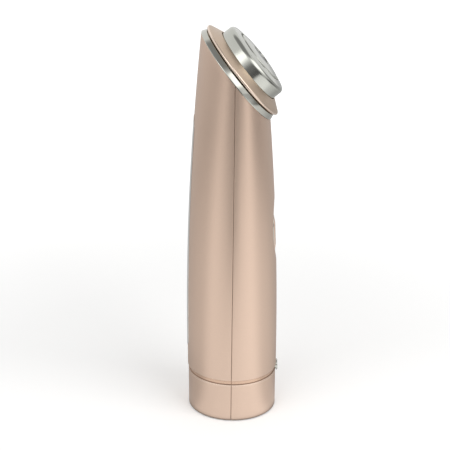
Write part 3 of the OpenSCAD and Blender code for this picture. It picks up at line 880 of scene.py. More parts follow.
@dataclass
class TubeRule:
    """Sets a tube on each point of a template, as long as the point asks."""

    segments: int = 40

    def __post_init__(self) -> None:
        """Builds the tree."""
        rule = self.rule = RuleTree("set_tubes")
        outer, bore = rule.ask("Outer Radius"), rule.ask("Bore Radius")
        turn = rule.ask("Turn", "NodeSocketVector")
        material = rule.ask("Material", "NodeSocketMaterial")
        middle = (outer + bore) * 0.5
        path = rule.add(
            "GeometryNodeCurvePrimitiveCircle", Resolution=self.segments, Radius=middle
        )
        wall = rule.add("GeometryNodeCurvePrimitiveQuadrilateral", Width=outer - bore, Height=1.0)
        tube = rule.add("GeometryNodeCurveToMesh", path.outputs[0], Profile_Curve=wall.outputs[0])
        size = rule.add("ShaderNodeCombineXYZ", 1.0, 1.0, rule.attribute("reach"))
        put = rule.add(
            "GeometryNodeInstanceOnPoints",
            rule.source.outputs["Geometry"],
            Instance=tube.outputs[0],
            Rotation=turn,
            Scale=size.outputs[0],
        )
        rule.finish(put.outputs[0], material)

    def tubes(
        self,
        name: str,
        spots: Sequence[tuple[Vector, float]],
        place: Matrix,
        outer: float,
        bore: float,
        material: Material,
    ) -> Object:
        """Makes tubes along a frame's Z.

        Args:
            name: The piece's name.
            spots: Middle and length of each tube in millimetres, the middle in the frame.
            place: The frame, in metres.
            outer: Outer radius.
            bore: Radius of the bore.
            material: What the piece is dressed in.

        Returns:
            The object.
        """
        mesh = bpy.data.meshes.new(name)
        mesh.from_pydata([place @ (middle * MM) for middle, _ in spots], [], [])
        reach = mesh.attributes.new("reach", "FLOAT", "POINT")
        reach.data.foreach_set("value", [length * MM for _, length in spots])
        values = {
            "Outer Radius": outer * MM,
            "Bore Radius": bore * MM,
            "Turn": place.to_euler()[:],
            "Material": material,
        }
        return tidy_mesh(self.rule.apply(link(name, mesh), values))


# ---- finishes ----


@dataclass
class Paint:
    """A material under construction, with short ways to reach its nodes."""

    name: str

    def __post_init__(self) -> None:
        """Makes the material."""
        self.material = bpy.data.materials.new(self.name)
        self.material.use_nodes = True
        self.tree = self.material.node_tree
        self.shader = self.tree.nodes["Principled BSDF"]
        self.place = self.tree.nodes.new("ShaderNodeTexCoord").outputs["Object"]

    def dress(self, **values: object) -> None:
        """Fills sockets of the shader, named with underscores for spaces."""
        for key, value in values.items():
            feed(self.tree, self.shader.inputs[key.replace("_", " ")], value)

    def noise(self, size_mm: float, detail: float = 2.0, stretch: Point3 = (1, 1, 1)) -> Field:
        """Soft random variation.

        Args:
            size_mm: Size of its features.
            detail: Octaves of finer variation.
            stretch: Factors on the three directions.

        Returns:
            A number round 0.5.
        """
        place = grow(self.tree, "ShaderNodeMapping", self.place, Scale=stretch).outputs[0]
        scale = 1.0 / (size_mm * MM)
        node = grow(self.tree, "ShaderNodeTexNoise", Vector=place, Scale=scale, Detail=detail)
        return Field(self.tree, node.outputs[0])

    def cells(self, size_mm: float) -> Field:
        """A random number for each small cell, such as a metal flake.

        Args:
            size_mm: Size of a cell, in millimetres.

        Returns:
            The number, from 0 to 1.
        """
        scale = 1.0 / (size_mm * MM)
        node = grow(self.tree, "ShaderNodeTexVoronoi", Vector=self.place, Scale=scale)
        split = grow(self.tree, "ShaderNodeSeparateColor", node.outputs["Color"])
        return Field(self.tree, split.outputs[0])

    def axis(self, index: int) -> Field:
        """One of the object coordinates, in millimetres."""
        node = grow(self.tree, "ShaderNodeSeparateXYZ", self.place)
        return Field(self.tree, node.outputs[index]) * (1.0 / MM)

    def edges(self, low: float = 0.52, high: float = 0.62) -> Field:
        """1 on convex edges, 0 elsewhere.

        Args:
            low: Pointiness at which it leaves 0.
            high: Pointiness at which it reaches 1.

        Returns:
            The share.
        """
        pointed = self.tree.nodes.new("ShaderNodeNewGeometry").outputs["Pointiness"]
        share = (Field(self.tree, pointed) - low) / (high - low)
        return share.math("MAXIMUM", 0.0, clamp=True)

    def mix(self, under: Colour | Socket, over: Colour, share: Field) -> Socket:
        """Blends a colour into another one.

        Args:
            under: The colour at a share of 0, or the socket that gives it.
            over: The colour at a share of 1.
            share: How much of the second colour there is.

        Returns:
            The socket with the blend.
        """
        node = grow(self.tree, "ShaderNodeMix", data_type="RGBA")
        first, second = (socket for socket in node.inputs if socket.type == "RGBA")
        feed(self.tree, first, (*under, 1.0) if isinstance(under, tuple) else under)
        feed(self.tree, second, (*over, 1.0))
        feed(self.tree, node.inputs["Factor"], share.math("ADD", 0.0, clamp=True))
        return next(socket for socket in node.outputs if socket.type == "RGBA")

    def bump(self, height: Field, depth_mm: float) -> None:
        """Raises and sinks the surface by a height of 0 to 1."""
        node = grow(self.tree, "ShaderNodeBump", Height=height, Distance=depth_mm * MM)
        self.dress(Normal=node.outputs[0])


def scaled(colour: Colour, factor: float) -> Colour:
    """A colour made lighter or darker."""
    return tuple(min(1.0, c * factor) for c in colour)


@dataclass(frozen=True)
class Finish:
    """A plain finish with mottled colour, grain and worn edges."""

    slot: Slot
    colour: Colour
    metallic: float = 0.0
    roughness: float = 0.5
    mottle: float = 0.06
    mottle_mm: float = 6.0
    grain_mm: float = 0.3
    grain_depth: float = 0.01
    wear: float = 0.15

    def material(self) -> Material:
        """Builds the finish's material.

        Returns:
            The material.
        """
        paint = Paint(self.slot.value)
        paint.dress(Metallic=self.metallic)
        self.pattern(paint)
        return paint.material

    def tones(self) -> tuple[Colour, Colour]:
        """The darker and the lighter tone of the mottled colour."""
        return scaled(self.colour, 1 - self.mottle), scaled(self.colour, 1 + self.mottle)

    def worn(self, paint: Paint, colour: Socket) -> Socket:
        """A colour that is lighter where edges wear."""
        return paint.mix(colour, scaled(self.colour, 1 + self.wear), paint.edges())

    def pattern(self, paint: Paint) -> None:
        """Puts colour, roughness and bump on the material.

        Args:
            paint: The material under construction.
        """
        broad, grain = paint.noise(self.mottle_mm), paint.noise(self.grain_mm)
        paint.dress(
            Base_Color=self.worn(paint, paint.mix(*self.tones(), broad)),
            Roughness=broad * 0.08 + grain * 0.06 + (self.roughness - 0.07),
        )
        paint.bump(grain, self.grain_depth)


@dataclass(frozen=True)
class Line:
    """A soft painted shade or highlight line in the lacquer, as wide to both sides of its middle,
    in millimetres.
    """

    full: float
    gone: float
    share: float

    def at(self, distance: Field) -> Field:
        """The line's share at a distance from its middle."""
        return distance.math("ABSOLUTE").eased(self.full, self.gone).rest() * self.share


@dataclass(frozen=True)
class SatinLacquer(Finish):
    """Rose-gold lacquer with a fine flake, a glossier accent band, painted shade lines and painted
    highlights.
    """

    shape: BodyShape = SHAPE
    band_colour: Colour = (0.72, 0.50, 0.37)
    ring_colour: Colour = (0.61, 0.478, 0.365)
    # Colour of the painted shade lines.
    shade: Colour = (0.26, 0.17, 0.12)
    # Colour of the painted highlights.
    painted_highlight: Colour = (0.97, 0.80, 0.68)
    # Painted shade lines along the parting line, the band's lips and the foot's edge, where shade
    # falls in gaps and under edges.
    parting: Line = Line(0.12, 0.34, 0.42)
    lower_lip: Line = Line(0.16, 0.34, 0.62)
    upper_lip: Line = Line(0.10, 0.28, 0.60)
    foot_edge: Line = Line(0.80, 1.30, 0.15)
    # Painted highlight line below the accent band.
    band_edge: Line = Line(0.12, 0.32, 0.55)
    lip_rise: float = 0.08
    edge_drop: float = 0.55
    # Painted highlight on the cotton ring's rim: how far in from the rim it runs, and its strength.
    rim_run: Point2 = (0.25, 0.05)
    rim_share: float = 0.75
    head_start: float = 0.02
    fine_flake_mm: float = 0.14
    broad_flake_mm: float = 0.5
    cloud_mm: float = 24.0
    peel_mm: float = 0.9
    band_gloss: float = 0.22
    edge_gloss: float = 0.16

    def _marks(self, paint: Paint) -> tuple[Field, Field, Field]:
        """Shares of the painted shade lines, of the painted highlights and of the cotton ring's
        browner tone.

        The shade is painted along the parting line, the band's lips and the foot's edge. The
        highlights are painted on the edge below the band and on the rim of the cotton ring, above
        the slanted opening.

        Args:
            paint: The material under construction.

        Returns:
            The three shares.
        """
        shape = self.shape
        x, y, z = (paint.axis(k) for k in range(3))
        tilt = math.radians(shape.head_tilt)
        head_x, head_z, head_radius = shape.head
        rise = (x - head_x) * math.sin(tilt) + (z - head_z) * math.cos(tilt)
        along = (x - head_x) * math.cos(tilt) - (z - head_z) * math.sin(tilt)
        shell = rise.math("LESS_THAN", self.head_start)
        line = x + z * math.tan(math.radians(shape.seam_lean)) + shape.seam_offset
        # Painted shade: dark lines along the parting line, the band's lips and the foot's edge.
        dark = self.parting.at(line) * shell
        dark = dark.math("MAXIMUM", self.lower_lip.at(z - (shape.band_height + self.lip_rise)))
        dark = dark.math("MAXIMUM", self.upper_lip.at(z - shape.band_top))
        dark = dark.math("MAXIMUM", self.foot_edge.at(z))
        # Painted highlights: a light line below the band and the cotton ring's lit rim.
        bright = self.band_edge.at(z - (shape.band_height - self.edge_drop))
        low, high = (head_radius - run for run in self.rim_run)
        rim = distance_2d(along, y).eased(low, high) * (shell.rest() * self.rim_share)
        return dark, bright.math("MAXIMUM", rim), shell.rest()

    def pattern(self, paint: Paint) -> None:
        """Puts the flake, the band, the painted shade lines, the painted highlights and the satin
        on the material.

        Args:
            paint: The material under construction.
        """
        flake = paint.cells(self.fine_flake_mm) * 0.4 + paint.cells(self.broad_flake_mm) * 0.6
        cloud, peel = paint.noise(self.cloud_mm), paint.noise(self.peel_mm)
        height = paint.axis(2)
        above = (height - self.shape.band_height).math("GREATER_THAN", 0.0)
        band = above * height.math("LESS_THAN", self.shape.band_top)
        dark, bright, ring = self._marks(paint)
        colour = self.worn(paint, paint.mix(*self.tones(), flake * 0.55 + cloud * 0.45))
        # The browner cotton ring and the band, then the painted highlights and the painted shade.
        for tone, share in (
            (self.ring_colour, ring),
            (self.band_colour, band),
            (self.painted_highlight, bright),
            (self.shade, dark),
        ):
            colour = paint.mix(colour, tone, share)
        satin = cloud * 0.05 + flake * 0.06 + (self.roughness - 0.05)
        gloss = band * self.band_gloss + bright * self.edge_gloss
        paint.dress(Base_Color=colour, Roughness=satin - gloss)
        paint.bump(flake * 0.3 + peel * 0.7, self.grain_depth)


@dataclass(frozen=True)
class BrightMetal(Finish):
    """Plated or turned metal with fine lines and faint smudges."""

    lines: Point3 = (1, 1, 1)
    haze: float = 0.05
    smudge_mm: float = 9.0

    def pattern(self, paint: Paint) -> None:
        """Puts smudges and fine lines on the metal.

        Args:
            paint: The material under construction.
        """
        smudge, line = paint.noise(self.smudge_mm, 3.0), paint.noise(self.grain_mm, 2.0, self.lines)
        drift = smudge * self.haze + line * (0.5 * self.haze)
        paint.dress(
            Base_Color=self.worn(paint, paint.mix(*self.tones(), smudge * 0.5 + line * 0.5)),
            Roughness=drift + (self.roughness - 0.6 * self.haze),
        )
        paint.bump(line, self.grain_depth)


@dataclass(frozen=True)
class Glassy(Finish):
    """Smooth clear-topped plastic, smoked or milky."""

    coat: float = 0.5
    depth: float = 0.0

    def pattern(self, paint: Paint) -> None:
        """Puts a glossy coat over faintly cloudy plastic.

        Args:
            paint: The material under construction.
        """
        cloud, dust = paint.noise(self.mottle_mm), paint.noise(self.grain_mm)
        paint.dress(
            Coat_Weight=self.coat,
            Coat_Roughness=0.05,
            Subsurface_Weight=self.depth,
            Base_Color=paint.mix(*self.tones(), cloud),
            Roughness=cloud * 0.05 + dust * 0.05 + (self.roughness - 0.05),
        )
        paint.bump(dust, self.grain_depth)


@dataclass(frozen=True)
class BoardLacquer(Finish):
    """Solder mask over copper tracks, with bare pads."""

    track: Colour = (0.07, 0.30, 0.16)
    pad: Colour = (0.72, 0.62, 0.38)
    pad_mm: float = 2.4
    relief: float = 0.03

    def pattern(self, paint: Paint) -> None:
        """Puts tracks and pads on the board.

        Args:
            paint: The material under construction.
        """
        across = (paint.axis(1) * 1.1).math("PINGPONG", 1.0)
        along = (paint.axis(2) * 0.45 + paint.noise(5.0, 0.0) * 2.0).math("PINGPONG", 1.0)
        tracks = across.math("GREATER_THAN", 0.62) * along.math("LESS_THAN", 0.75)
        pads = paint.cells(self.pad_mm).math("GREATER_THAN", 0.93)
        paint.dress(
            Base_Color=paint.mix(paint.mix(self.colour, self.track, tracks), self.pad, pads),
            Roughness=paint.noise(self.grain_mm) * 0.1 + (self.roughness - 0.05),
        )
        paint.bump(tracks * 0.5 + pads * 0.5, self.relief)


@dataclass(frozen=True)
class WoundWire(Finish):
    """Enamelled wire, laid in close turns round an axis along X."""

    axis_height: float = 62.0
    turn_mm: float = 0.35
    relief: float = 0.08

    def pattern(self, paint: Paint) -> None:
        """Puts ridges of wire on the winding, with painted shade in the valleys and a painted
        highlight on the crests.

        Args:
            paint: The material under construction.
        """
        radius = distance_2d(paint.axis(1), paint.axis(2) - self.axis_height)
        ridge = (radius * (2 * math.pi / self.turn_mm)).math("SINE") * 0.5 + 0.5
        # Painted shade in the valleys between turns and a painted highlight on their crests.
        shaded_valley, lit_crest = scaled(self.colour, 0.7), scaled(self.colour, 1.15)
        paint.dress(
            Base_Color=paint.mix(shaded_valley, lit_crest, ridge),
            Roughness=ridge * 0.1 + (self.roughness - 0.05),
        )
        paint.bump(ridge, self.relief)


@dataclass
class Palette:
    """All finishes of the wand, made once."""

    def __post_init__(self) -> None:
        """Builds the materials."""
        finishes = (
            SatinLacquer(
                Slot.SHELL, (0.78, 0.585, 0.464), metallic=0.82, roughness=0.34, mottle=0.03,
                grain_depth=0.003, wear=0.06,
            ),
            Finish(
                Slot.RUBBER, (0.035, 0.034, 0.034), roughness=0.78, mottle=0.15, mottle_mm=8.0,
                grain_mm=0.35, grain_depth=0.03, wear=0.3,
            ),
            BrightMetal(
                Slot.CONTACT, (0.93, 0.93, 0.90), metallic=1.0, roughness=0.34, mottle=0.03,
                grain_mm=0.12, grain_depth=0.002, lines=(1, 1, 0.03), haze=0.06,
            ),
            BrightMetal(
                Slot.TRIM, (0.60, 0.60, 0.545), metallic=1.0, roughness=0.09, mottle=0.015,
                grain_mm=0.5, grain_depth=0.0006, haze=0.03,
            ),
            BrightMetal(
                Slot.ELECTRODE, (0.575, 0.58, 0.53), metallic=1.0, roughness=0.15, mottle=0.02,
                grain_mm=0.4, grain_depth=0.0008, haze=0.04,
            ),
            Glassy(
                Slot.SMOKED, (0.022, 0.023, 0.024), roughness=0.16, mottle=0.1, grain_depth=0.001
            ),
            Glassy(
                Slot.LENS, (0.78, 0.79, 0.76), roughness=0.3, mottle=0.03, grain_depth=0.001,
                depth=0.2,
            ),
            Finish(Slot.INNER, (0.72, 0.72, 0.69), mottle=0.03, grain_depth=0.006),
            BoardLacquer(Slot.BOARD, (0.02, 0.13, 0.07), roughness=0.35),
            Finish(
                Slot.COMPONENT, (0.022, 0.022, 0.024), roughness=0.45, mottle=0.2, mottle_mm=2.0,
                grain_mm=0.15, grain_depth=0.006, wear=0.4,
            ),
            WoundWire(Slot.WINDING, (0.50, 0.22, 0.09), metallic=0.6, roughness=0.3),
            Finish(
                Slot.CELL, (0.03, 0.12, 0.24), roughness=0.28, mottle=0.08, mottle_mm=12.0,
                grain_mm=3.0, grain_depth=0.02, wear=0.1,
            ),
            BrightMetal(
                Slot.PIN, (0.82, 0.62, 0.27), metallic=1.0, roughness=0.2, mottle=0.03,
                grain_depth=0.0008,
            ),
            BrightMetal(
                Slot.SCREW, (0.44, 0.45, 0.46), metallic=1.0, roughness=0.33, mottle=0.08,
                grain_depth=0.002, haze=0.1,
            ),
        )
        self.materials = {finish.slot: finish.material() for finish in finishes}

    def __getitem__(self, slot: Slot) -> Material:
        """The material of a slot."""
        return self.materials[slot]


# ---- sub-assemblies ----


@dataclass(kw_only=True)
class SubAssembly:
    """A group of pieces that is built and dressed together."""

    palette: Palette
    shape: BodyShape = SHAPE

    def enter(self, obj: Object, slot: Slot, rides: Rides, *nodes: str) -> Object:
        """Dresses a finished piece and lets it ride.

        Args:
            obj: The piece.
            slot: The slot that it takes its finish from.
            rides: The body that it moves with.
            nodes: CAD nodes that it stands for.

        Returns:
            The piece.
        """
        obj.data.materials.clear()
        obj.data.materials.append(self.palette[slot])
        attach(obj, rides.value)
        if nodes:
            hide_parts(*nodes)
        LOG.info("%s: %d faces, rides on %s", obj.name, len(obj.data.polygons), rides.value)
        return obj


@dataclass(kw_only=True)
class TurnedAssembly(SubAssembly):
    """A group of turned rings and discs on one axis."""

    turner: TurnedRule

    def turn(
        self, name: str, profile: Profile, place: Matrix, slot: Slot, rides: Rides, node: str
    ) -> None:
        """Turns a profile round the frame's Z, dresses the piece and lets it ride."""
        self.enter(self.turner.turned(name, profile, place, self.palette[slot]), slot, rides, node)


@dataclass(kw_only=True)
class Housing(SubAssembly):
    """The two moulded half shells, with what is moulded to them inside.

    An edge or a lip is given as steps along it and inwards. Ends are places along an axis.
    """

    skin: SkinRule
    tube: TubeRule
    columns: int = 120
    seam_round: float = 0.2
    seam_edge: tuple[Point2, ...] = ((0.0, 1.0), (0.15, 0.5), (0.5, 0.14))
    foot_edge: tuple[Point2, ...] = ((0.0, 1.0), (0.13, 0.5), (0.5, 0.13), (1.0, 0.0))
    base_rows: int = 12
    base_row: float = 1.5
    lower_lip: tuple[Point2, ...] = ((0.3, 0.0), (0.16, 0.02), (0.06, 0.07), (0.01, 0.16))
    groove_rows: Point3 = (0.03, 0.2, 2.0)
    upper_lip: tuple[Point2, ...] = ((0.03, 0.18), (0.07, 0.08), (0.15, 0.02), (0.3, 0.0))
    loft_start: float = 24.0
    loft_row: float = 1.6
    recess_row: float = 0.6
    recess_margin: float = 3.0
    top_gap: float = 1.2
    top_edge: tuple[Point2, ...] = ((0.5, 0.0), (0.12, 0.04), (0.0, 0.16))
    trim_length: float = 22.5
    trim_width: float = 12.5
    trim_reach: float = 6.0
    trim_steps: int = 24
    lamp_stem: float = 2.25
    lamp_reach: float = 4.0
    screw_heights: Point3 = (35.0, 115.5, 142.0)
    boss_radius: float = 3.2
    front_boss_back: float = 2.55
    rear_boss_end: float = 0.45
    head_depth: float = 7.0
    head_bore: float = 2.45
    shank_bore: float = 1.2
    pilot_bore: float = 1.15
    pin_height: float = 98.0
    pin_bore: float = 1.0
    post_spots: Point2 = (10.5, 6.95)
    post_radius: float = 1.3
    post_bore: float = 0.02
    post_ends: Point2 = (-9.5, -2.4)
    collar_ends: Point2 = (-3.3, -1.9)
    collar_wall: float = 1.5
    tongue_reach: float = 1.2
    tongue_root: float = 1.5
    tongue_fit: float = 0.08
    tongue_gap: float = 0.06
    tongue_ends: Point2 = (1.0, 1.8)
    rebate_ends: Point2 = (0.5, 2.4)
    lip_rows: int = 48
    past: float = 1.0

    def _columns(self) -> list[tuple[float, float, bool]]:
        """Columns once round a shell's wall, with rounded edges at the seam.

        Returns:
            Share of the half turn, inset and whether it is outside, for each column.
        """
        edge = self.seam_round / (math.pi / 2 * self.shape.base_radius)
        ends = [(1 - back * edge, inset * self.seam_round) for back, inset in self.seam_edge]
        middle = [(1 - edge) * (2 * k / self.columns - 1) for k in range(self.columns + 1)]
        outer = [(-share, inset, True) for share, inset in ends]
        outer += [(share, 0.0, True) for share in middle]
        outer += [(share, inset, True) for share, inset in reversed(ends)]
        inner = [(share, self.shape.wall, False) for share, _, _ in reversed(outer)]
        return outer + inner

    def _rows(self, fine: Point2 | None) -> list[Point2]:
        """Rows from the foot to the slanted opening.

        Args:
            fine: Heights between which the rows lie close together, or None.

        Returns:
            Front height and inset of each row.
        """
        shape = self.shape
        step, low, top = shape.base_step, shape.band_height, shape.front_height
        foot, round_by = shape.shell_lift, shape.foot_round
        rows = [(foot + round_by * rise, step + round_by * inset) for rise, inset in self.foot_edge]
        rows += [(self.base_row * (k + 1), step) for k in range(self.base_rows)]
        rows += [(low - down, step + inset) for down, inset in self.lower_lip]
        rows += [(low + rise, shape.band_depth) for rise in self.groove_rows]
        rows += [(shape.band_top + rise, inset) for rise, inset in self.upper_lip]
        z = self.loft_start
        while z < top - self.top_gap:
            rows.append((z, 0.0))
            z += self.recess_row if fine and fine[0] < z < fine[1] else self.loft_row
        return rows + [(top - down, inset) for down, inset in self.top_edge]

    def _trim_cutter(self) -> Object:
        """Solid that clears the opening for the button's trim.

        Returns:
            The solid.
        """
        shape, gap, reach = self.shape, 2 * self.shape.fit, self.trim_reach
        outline = stadium(self.trim_length + gap, self.trim_width + gap, self.trim_steps)
        return prism("trim_cut", outline, -reach, reach, shape.at_front(shape.button_height))

    def _along_x(self, x: float, z: float) -> Matrix:
        """Frame in the middle plane whose Z runs along the wand's X, in metres."""
        return Matrix.Translation(Vector((x, 0, z)) * MM) @ Matrix.Rotation(math.pi / 2, 4, "Y")

    def _bosses(self, name: str, ends: Callable[[float], Point2], bore: float) -> Object:
        """Makes a boss for each screw.

        Args:
            name: What the bosses are called.
            ends: Where a boss begins and ends along X, from its screw's height.
            bore: Radius of their bore.

        Returns:
            The bosses.
        """
        spots = []
        for z in self.screw_heights:
            low, high = ends(z)
            spots.append((Vector((-z, 0, (low + high) / 2)), high - low))
        shell, place = self.palette[Slot.SHELL], self._along_x(0, 0)
        return self.tube.tubes(name, spots, place, self.boss_radius, bore, shell)

    def _front_mounts(self) -> list[Object]:
        """Bosses, switch posts and the button's collar inside the front shell.

        Returns:
            The bosses, the posts and the collar.
        """
        shape, place = self.shape, self.shape.at_front(self.shape.button_height)

        def boss_ends(z: float) -> Point2:
            """From the parting plane's side into the wall."""
            return self.front_boss_back, shape.front_x(z) - shape.wall / 2

        along, across = self.post_spots
        low, high = self.post_ends
        middle = (low + high) / 2
        spots = [
            (Vector((x, y, middle)), high - low) for x in (-along, along) for y in (-across, across)
        ]
        posts = self.tube.tubes(
            "switch_posts", spots, place, self.post_radius, self.post_bore, self.palette[Slot.SHELL]
        )
        (under, top), fit, wide = self.collar_ends, shape.fit, self.collar_wall
        section = [(fit, under), (wide, under), (wide, top), (fit, top)]
        collar = slot_ring("button_collar", self.trim_length, self.trim_width, section, place)
        return [self._bosses("front_bosses", boss_ends, self.pilot_bore), posts, collar]

    def _rear_mounts(self) -> list[Object]:
        """Bosses inside the rear shell, wider in front of each screw's head.

        Returns:
            The sleeves round the screws' heads and the bosses.
        """
        rear_x, half, depth = self.shape.rear_x, self.shape.wall / 2, self.head_depth

        def sleeve_ends(z: float) -> Point2:
            """From the wall to the seat of the screw's head."""
            return rear_x(z) + half, rear_x(z) + depth

        def seat_ends(z: float) -> Point2:
            """From the seat of the screw's head to the boss's end."""
            return rear_x(z) + depth, self.rear_boss_end

        sleeves = self._bosses("rear_sleeves", sleeve_ends, self.head_bore)
        return [sleeves, self._bosses("rear_bosses", seat_ends, self.shank_bore)]

    def _lips(
        self, name: str, front: bool, insets: Point2, places: Point2, ends: Point2
    ) -> list[Object]:
        """Makes a strip along each of the two parting lines.

        Args:
            name: What the strips are called.
            front: Whether they belong to the front half.
            insets: Their outer and inner depth under the surface.
            places: Where they begin and end round the body, from the half's own edge.
            ends: Front heights of their lower and upper end.

        Returns:
            The strips.
        """
        turn = math.pi / 2 * self.shape.base_radius
        low, high = (1 + place / turn for place in places)
        count, (bottom, top) = self.lip_rows, ends
        rows = [(bottom + (top - bottom) * k / count, 0.0) for k in range(count + 1)]
        strips = []
        for side in (1, -1):
            over = [(side * share, insets[0], False) for share in (low, (low + high) / 2, high)]
            under = [(share, insets[1], False) for share, _, _ in reversed(over)]
            shell = self.palette[Slot.SHELL]
            strips.append(self.skin.wrap(name, rows, over + under, shell, front))
        return strips

    def _tongues(self) -> list[Object]:
        """Tongues of the front shell, which close the parting lines from inside.

        Returns:
            The two tongues.
        """
        shape, (above, below) = self.shape, self.tongue_ends
        insets = (shape.wall / 2 + self.tongue_fit, shape.wall - self.tongue_gap)
        places = (-self.tongue_root, self.tongue_reach)
        ends = (shape.shell_lift + above, shape.front_height - below)
        return self._lips("tongue", True, insets, places, ends)

    def _rebates(self) -> list[Object]:
        """Cutters for the rebates of the rear shell.

        Returns:
            The two cutters.
        """
        shape, (below, above) = self.shape, self.rebate_ends
        insets = (shape.wall / 2, shape.wall + self.past)
        places = (-self.tongue_reach - self.tongue_fit, self.past)
        return self._lips("rebate", False, insets, places, (-below, shape.front_height + above))

    def _rear_bores(self) -> list[Object]:
        """Cutters for the screws' heads and the contact pin, which the contact plate covers.

        Returns:
            The cutters.
        """
        rear_x, reach = self.shape.rear_x, 1.5 * self.shape.wall
        bores = [(self.head_bore, z) for z in self.screw_heights]
        bores.append((self.pin_bore, self.pin_height))
        return [
            drill("bore_cut", radius, reach, self._along_x(rear_x(z), z)) for radius, z in bores
        ]

    def build(self, pocket: Object) -> None:
        """Makes both shells.

        Args:
            pocket: Solid that is cut out of the rear shell for the contact plate.
        """
        shape, dish, shell = self.shape, self.skin.dish, self.palette[Slot.SHELL]
        middle = shape.button_height + dish.shift
        reach = dish.length / 2 + self.recess_margin
        rows = self._rows((middle - reach, middle + reach))
        front = self.skin.wrap("shell_front", rows, self._columns(), shell, front=True)
        lamp = shape.at_front(shape.band_height + shape.band_width / 2)
        lamp_hole = drill("lamp_cut", self.lamp_stem + shape.fit, self.lamp_reach, lamp)
        carve(front, self._trim_cutter(), lamp_hole)
        merged(front, *self._front_mounts(), *self._tongues())
        rear = self.skin.wrap("shell_rear", self._rows(None), self._columns(), shell, front=False)
        carve(rear, pocket, *self._rear_bores(), *self._rebates())
        merged(rear, *self._rear_mounts())
        self.enter(smooth(front, SHELL_CREASE), Slot.SHELL, Rides.BODY, "front_shell")
        self.enter(smooth(rear, SHELL_CREASE), Slot.SHELL, Rides.BODY, "rear_shell")


@dataclass(kw_only=True)
class ContactPlate(SubAssembly):
    """Silver strip on the rear shell."""

    skin: SkinRule
    low: float = 32.5
    high: float = 152.0
    half_angle: float = 14.0
    thick: float = 0.5
    proud: float = 0.25
    margin: float = 0.12
    edge_round: float = 0.1
    end_angles: tuple[int, ...] = (12, 18, 25, 33, 42, 52, 63, 75, 90)
    rows: int = 56
    columns: int = 32
    edge: tuple[Point2, ...] = ((1.0, 1.0), (0.985, 0.3), (0.96, 0.0))
    flat_share: float = 0.93
    cutter_top: float = -1.0

    def _strip(self, name: str, margin: float, top: float, under: float, eased: float) -> Object:
        """Makes a strip with round ends along the rear of the body.

        Args:
            name: What the strip is called.
            margin: How much larger than the plate it is, all round.
            top: Inset of its outer face.
            under: Inset of its inner face.
            eased: Rounding of its outer edges.

        Returns:
            The strip.
        """
        shape = self.shape
        ratio = (shape.front_height - shape.loft_low) / (shape.rear_height - shape.loft_low)
        half = shape.base_radius * math.sin(math.radians(self.half_angle))
        low, high = self.low - margin, self.high + margin
        ends = [
            (half * (1 - math.cos(a)), math.sin(a), eased * (1 - math.sin(a)) ** 2)
            for a in map(math.radians, self.end_angles)
        ]
        run = (high - low - 2 * half) / self.rows
        spots = [(low + inward, width, inset) for inward, width, inset in ends]
        spots += [(low + half + run * k, 1.0, 0.0) for k in range(1, self.rows)]
        spots += [(high - inward, width, inset) for inward, width, inset in reversed(ends)]
        rows = [(shape.loft_low + (z - shape.loft_low) * ratio, inset) for z, _, inset in spots]
        widths = {row[0]: spot[1] for row, spot in zip(rows, spots)}
        flat = [self.flat_share * (2 * k / self.columns - 1) for k in range(self.columns + 1)]
        outer = [(-share, top + inset * eased, True) for share, inset in self.edge]
        outer += [(share, top, True) for share in flat]
        outer += [(share, top + inset * eased, True) for share, inset in reversed(self.edge)]
        inner = [(share, under, False) for share, _, _ in reversed(outer)]
        return self.skin.wrap(
            name,
            rows,
            outer + inner,
            self.palette[Slot.CONTACT],
            front=False,
            half_angle=self.half_angle + math.degrees(margin / shape.base_radius),
            narrowing=widths.get,
        )

    def pocket(self) -> Object:
        """Solid that clears the plate's seat in the rear shell."""
        under = self.thick - self.proud + self.shape.fit
        return self._strip("plate_pocket", self.margin, self.cutter_top, under, 0.0)

    def build(self) -> None:
        """Makes the plate with eased edges."""
        under = self.thick - self.proud
        strip = self._strip("contact_plate", 0.0, -self.proud, under, self.edge_round)
        self.enter(smooth(strip, SHELL_CREASE), Slot.CONTACT, Rides.BODY, "rear_contact_plate")


